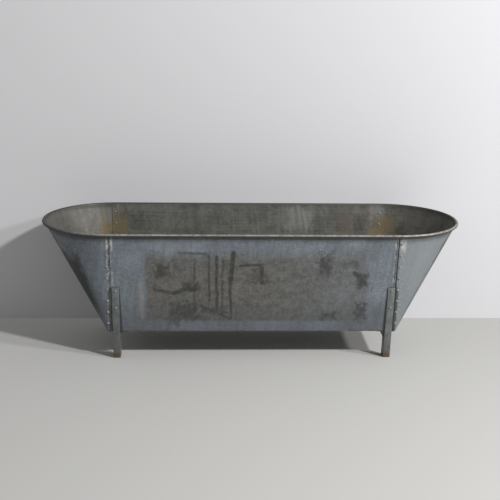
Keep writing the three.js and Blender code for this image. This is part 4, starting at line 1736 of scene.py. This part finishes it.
@dataclass
class Fastenings:
    """The rivets of the seams, the legs and the bearers."""

    form: TubForm
    zinc: bpy.types.Material
    head: float = 0.0058
    rise: float = 0.0028
    shank: float = 0.003
    tail: float = 0.0043
    tail_rise: float = 0.002
    cad_head: float = 0.003
    cad_tail: float = 0.0022

    def rivet(self, node: str, outward: Vector) -> None:
        """Builds one rivet in the place of its CAD node.

        Args:
            node: The CAD node.
            outward: The way its outer head faces.
        """
        low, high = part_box(node)
        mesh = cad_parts[node].data
        along = [v.co.dot(outward) for v in mesh.vertices]
        centre = (low + high) / 2
        seat_out = max(along) - self.cad_head
        seat_in = min(along) + self.cad_tail
        middle = centre - outward * centre.dot(outward)
        bm = bmesh.new()
        profile = [(0.0, seat_out + self.rise)]
        for degrees in (22, 44, 64, 80):
            a = math.radians(degrees)
            profile.append((self.head * math.sin(a), seat_out + self.rise * math.cos(a)))
        profile += [(self.head, seat_out + 0.0001), (self.shank, seat_out), (self.shank, seat_in)]
        profile += [(self.tail, seat_in), (self.tail * 0.8, seat_in - self.tail_rise * 0.7)]
        profile += [(self.tail * 0.4, seat_in - self.tail_rise), (0.0, seat_in - self.tail_rise)]
        vert = bmesh.ops.create_vert(bm, co=(profile[0][0], 0, profile[0][1]))["vert"][0]
        moves = [(x1 - x0, 0, z1 - z0) for (x0, z0), (x1, z1) in zip(profile, profile[1:])]
        vert = Mesh.draw(bm, vert, moves)
        bmesh.ops.spin(
            bm,
            geom=Mesh.everything(bm),
            cent=(0, 0, 0),
            axis=(0, 0, 1),
            angle=2 * math.pi,
            steps=18,
            use_merge=True,
        )
        bmesh.ops.remove_doubles(bm, verts=bm.verts[:], dist=NEAR)
        bmesh.ops.recalc_face_normals(bm, faces=bm.faces[:])
        turn = Vector((0, 0, 1)).rotation_difference(outward).to_matrix()
        bmesh.ops.rotate(bm, matrix=turn, verts=bm.verts[:])
        bmesh.ops.translate(bm, vec=middle, verts=bm.verts[:])
        Mesh.finish(bm, f"zinc_{node}", self.zinc, "rivet", [node], 50.0)

    def build(self) -> None:
        """Builds every rivet."""
        lean = self.form.side_lean
        for corner, (sx, sy) in CORNERS.items():
            side = Vector((0, sy * math.cos(lean), -math.sin(lean)))
            names = [f"{corner}_seam_rivet_{i}" for i in range(1, 9)]
            names += [f"{corner}_leg_rivet_{i}" for i in (1, 2)]
            for name in names:
                self.rivet(name, side)
            self.rivet(f"{corner}_bearer_rivet", Vector((sx, 0, 0)))


@dataclass
class SolderRun:
    """The uneven solder along the edge of each end sheet."""

    form: TubForm
    solder: bpy.types.Material
    width: float = 0.0032
    rise: float = 0.0021
    narrow: float = 0.0009
    low: float = 0.0012
    setback: float = 0.0062
    below_neck: float = 0.003
    wander: float = 0.0012
    leg_top: float = 0.331
    steps: int = 150
    fold_steps: int = 8
    under_steps: int = 30

    def path(self) -> list[tuple[Vector, Vector]]:
        """Places along the front half of the seam, from the neck down and in under the bottom.

        Returns:
            Pairs of a place on the body's outer face and the way it faces there.
        """
        form = self.form
        lean = form.side_lean
        turn = math.pi / 2 - lean
        inset = form.fold_radius * math.tan(turn / 2)
        fold_y = form.bottom_half_width - inset
        places = []
        top_z = form.neck - self.below_neck
        low_z = form.bottom + form.fold_radius * (1 - math.cos(turn))
        for i in range(self.steps):
            z = top_z + (low_z - top_z) * i / self.steps
            y = form.bottom_half_width + (z - form.bottom) * math.tan(lean)
            places.append((Vector((0, -y, z)), Vector((0, -math.cos(lean), -math.sin(lean)))))
        for i in range(self.fold_steps + 1):
            a = lean + turn * i / self.fold_steps
            out = Vector((0, -math.cos(a), -math.sin(a)))
            centre = Vector((0, -fold_y, form.bottom + form.fold_radius))
            places.append((centre + out * form.fold_radius, out))
        for i in range(1, self.under_steps + 1):
            y = -fold_y * (1 - i / self.under_steps)
            places.append((Vector((0, y, form.bottom)), Vector((0, 0, -1))))
        return places

    def run(self, name: str, sx: int) -> None:
        """Builds the run at one end, all the way round the section.

        Args:
            name: Its CAD node.
            sx: -1 on the left, 1 on the right.
        """
        half = self.path()
        flip = Vector((1, -1, 1))
        places = half + [(p * flip, n * flip) for p, n in reversed(half[:-1])]
        edge = self.form.lap_edge
        bm = bmesh.new()
        vert = bmesh.ops.create_vert(bm, co=(0, 0, 0))["vert"][0]
        profile = [(-1.0, -0.12), (-1.0, 0.0), (-0.75, 0.45), (-0.35, 0.85), (0.1, 1.0)]
        profile += [(0.55, 0.8), (0.9, 0.35), (1.0, 0.0), (1.0, -0.12)]
        bmesh.ops.translate(bm, vec=(profile[0][0], 0, profile[0][1]), verts=[vert])
        start = vert
        moves = [(x1 - x0, 0, z1 - z0) for (x0, z0), (x1, z1) in zip(profile, profile[1:])]
        vert = Mesh.draw(bm, vert, moves)
        bmesh.ops.contextual_create(bm, geom=[start, vert])
        edges = bm.edges[:]
        rows = [bm.verts[:]]
        for _ in places[1:]:
            verts = Mesh.pull(bm, edges, (0, 0, 0))
            edges = Mesh.between(bm, verts)
            rows.append(verts)
        for (place, out), verts in zip(places, rows):
            sample = Vector((sx * 3.1, place.y * 26, place.z * 26))
            wide = self.width * (1 + 0.55 * noise.noise(sample) + 0.3 * noise.noise(sample * 3.3))
            tall = self.rise * (1 + 0.35 * noise.noise(sample * 1.7 + Vector((7, 0, 0))))
            drift = self.wander * noise.noise(sample * 0.8 + Vector((0, 9, 0)))
            behind_leg = place.z < self.leg_top
            if behind_leg:
                wide, tall = self.narrow, self.low
            middle = edge - self.narrow if behind_leg else edge - self.setback + drift
            across = Matrix(
                (
                    (wide, 0, 0, middle),
                    (0, 0, out.y * tall, place.y),
                    (0, 0, out.z * tall, place.z),
                    (0, 0, 0, 1),
                )
            )
            bmesh.ops.transform(bm, matrix=across, verts=verts)
        bmesh.ops.scale(bm, vec=(sx, 1, 1), verts=bm.verts[:])
        bmesh.ops.holes_fill(bm, edges=[e for e in bm.edges if e.is_boundary], sides=0)
        bmesh.ops.recalc_face_normals(bm, faces=bm.faces[:])
        Mesh.finish(bm, f"lead_{name}", self.solder, "solder", [name], 60.0)

    def build(self) -> None:
        """Builds both runs."""
        self.run("left_seam_solder", -1)
        self.run("right_seam_solder", 1)


# ---------------------------------------------------------------- studio


@dataclass
class Studio:
    """Floor, backdrop, lights and camera."""

    camera_at: tuple[float, float, float] = (-0.2353, -4.5167, 1.6428)
    yaw: float = 2.929
    pitch: float = 15.129
    roll: float = 0.917
    lens: float = 77.06
    wall_y: float = 0.31
    aim: tuple[float, float, float] = (0.0, 0.0, 0.3)
    fill: float = 0.35

    def floor(self) -> None:
        """Lays the floor and stands the backdrop on it."""
        floor = Matte("floor", 0.0, 0.9, color=(0.50, 0.495, 0.48)).make()
        wall = OneSided("backdrop", 0.0, 0.9, color=(0.59, 0.59, 0.605)).make()
        for name, size, place, turn, finish in (
            ("floor", 20.0, (0, 0, 0), 0.0, floor),
            ("backdrop", 12.0, (0, self.wall_y, 8), 90.0, wall),
        ):
            bm = bmesh.new()
            bmesh.ops.create_grid(bm, x_segments=1, y_segments=1, size=size)
            bmesh.ops.rotate(bm, matrix=Matrix.Rotation(math.radians(turn), 3, "X"), verts=bm.verts[:])
            bmesh.ops.translate(bm, vec=place, verts=bm.verts[:])
            mesh = bpy.data.meshes.new(name)
            bm.to_mesh(mesh)
            bm.free()
            mesh.materials.append(finish)
            made = bpy.data.objects.new(name, mesh)
            bpy.context.scene.collection.objects.link(made)

    def light(self, name: str, toward: tuple, distance: float, size: float, power: float) -> None:
        """Adds an area light that looks at the tub.

        Args:
            name: Its name.
            toward: Direction from the tub to the light.
            distance: How far off it is.
            size: Its side.
            power: Its power in watts.
        """
        lamp = bpy.data.lights.new(name, "AREA")
        lamp.shape = "DISK"
        lamp.size = size
        lamp.energy = power
        made = bpy.data.objects.new(name, lamp)
        away = Vector(toward).normalized()
        made.location = Vector(self.aim) + away * distance
        made.rotation_euler = away.to_track_quat("Z", "Y").to_euler()
        bpy.context.scene.collection.objects.link(made)

    def camera(self) -> None:
        """Places the camera."""
        yaw, pitch, roll = (math.radians(a) for a in (self.yaw, self.pitch, self.roll))
        ahead = Vector((math.sin(yaw) * math.cos(pitch), math.cos(yaw) * math.cos(pitch), -math.sin(pitch)))
        right = Vector((math.cos(yaw), -math.sin(yaw), 0))
        up = right.cross(ahead)
        right_rolled = right * math.cos(roll) + up * math.sin(roll)
        up_rolled = -right * math.sin(roll) + up * math.cos(roll)
        turn = Matrix((right_rolled, up_rolled, -ahead)).transposed()
        data = bpy.data.cameras.new("camera")
        data.lens = self.lens
        data.sensor_width = 36.0
        made = bpy.data.objects.new("camera", data)
        made.matrix_world = Matrix.Translation(self.camera_at) @ turn.to_4x4()
        bpy.context.scene.collection.objects.link(made)
        bpy.context.scene.camera = made

    def build(self) -> None:
        """Sets the whole studio up."""
        self.floor()
        self.light("low_key", (1.8, -1.0, 1.04), 7.0, 0.55, 190)
        self.light("high_key", (0.95, -1.0, 1.04), 7.0, 0.45, 365)
        world = bpy.data.worlds.new("soft_fill")
        world.use_nodes = True
        background = world.node_tree.nodes["Background"]
        background.inputs["Color"].default_value = (1, 1, 1, 1)
        background.inputs["Strength"].default_value = self.fill
        bpy.context.scene.world = world
        bpy.context.scene.view_settings.view_transform = "Standard"
        self.camera()


# ---------------------------------------------------------------- assembly


def main() -> None:
    """Builds every sub-assembly in order."""
    logging.basicConfig(level=logging.INFO, format="%(message)s")
    form = TubForm()
    groups = Groups()
    outside = ZincOutside("zinc_outside", groups=groups).make()
    inside = ZincInside("zinc_inside", groups=groups).make()
    iron = ZincIron("zinc_iron", groups=groups).make()
    heads = SmallMetal(
        "rivet_heads", groups=groups, light=(0.30, 0.32, 0.33), dark=(0.13, 0.145, 0.16)
    ).make()
    lead = SmallMetal(
        "seam_lead", groups=groups, light=(0.25, 0.26, 0.262), dark=(0.080, 0.086, 0.092)
    ).make()
    rod = SmallMetal(
        "iron_rod", groups=groups, light=(0.12, 0.09, 0.07), dark=(0.05, 0.035, 0.03), rust=0.6
    ).make()
    Tub(form, outside, inside).build()
    Stand(form, iron).build()
    Fastenings(form, heads).build()
    SolderRun(form, lead).build()
    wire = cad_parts["rim_wire"]
    wire.data.materials.clear()
    wire.data.materials.append(rod)
    Studio().build()


if __name__ == "__main__":
    main()
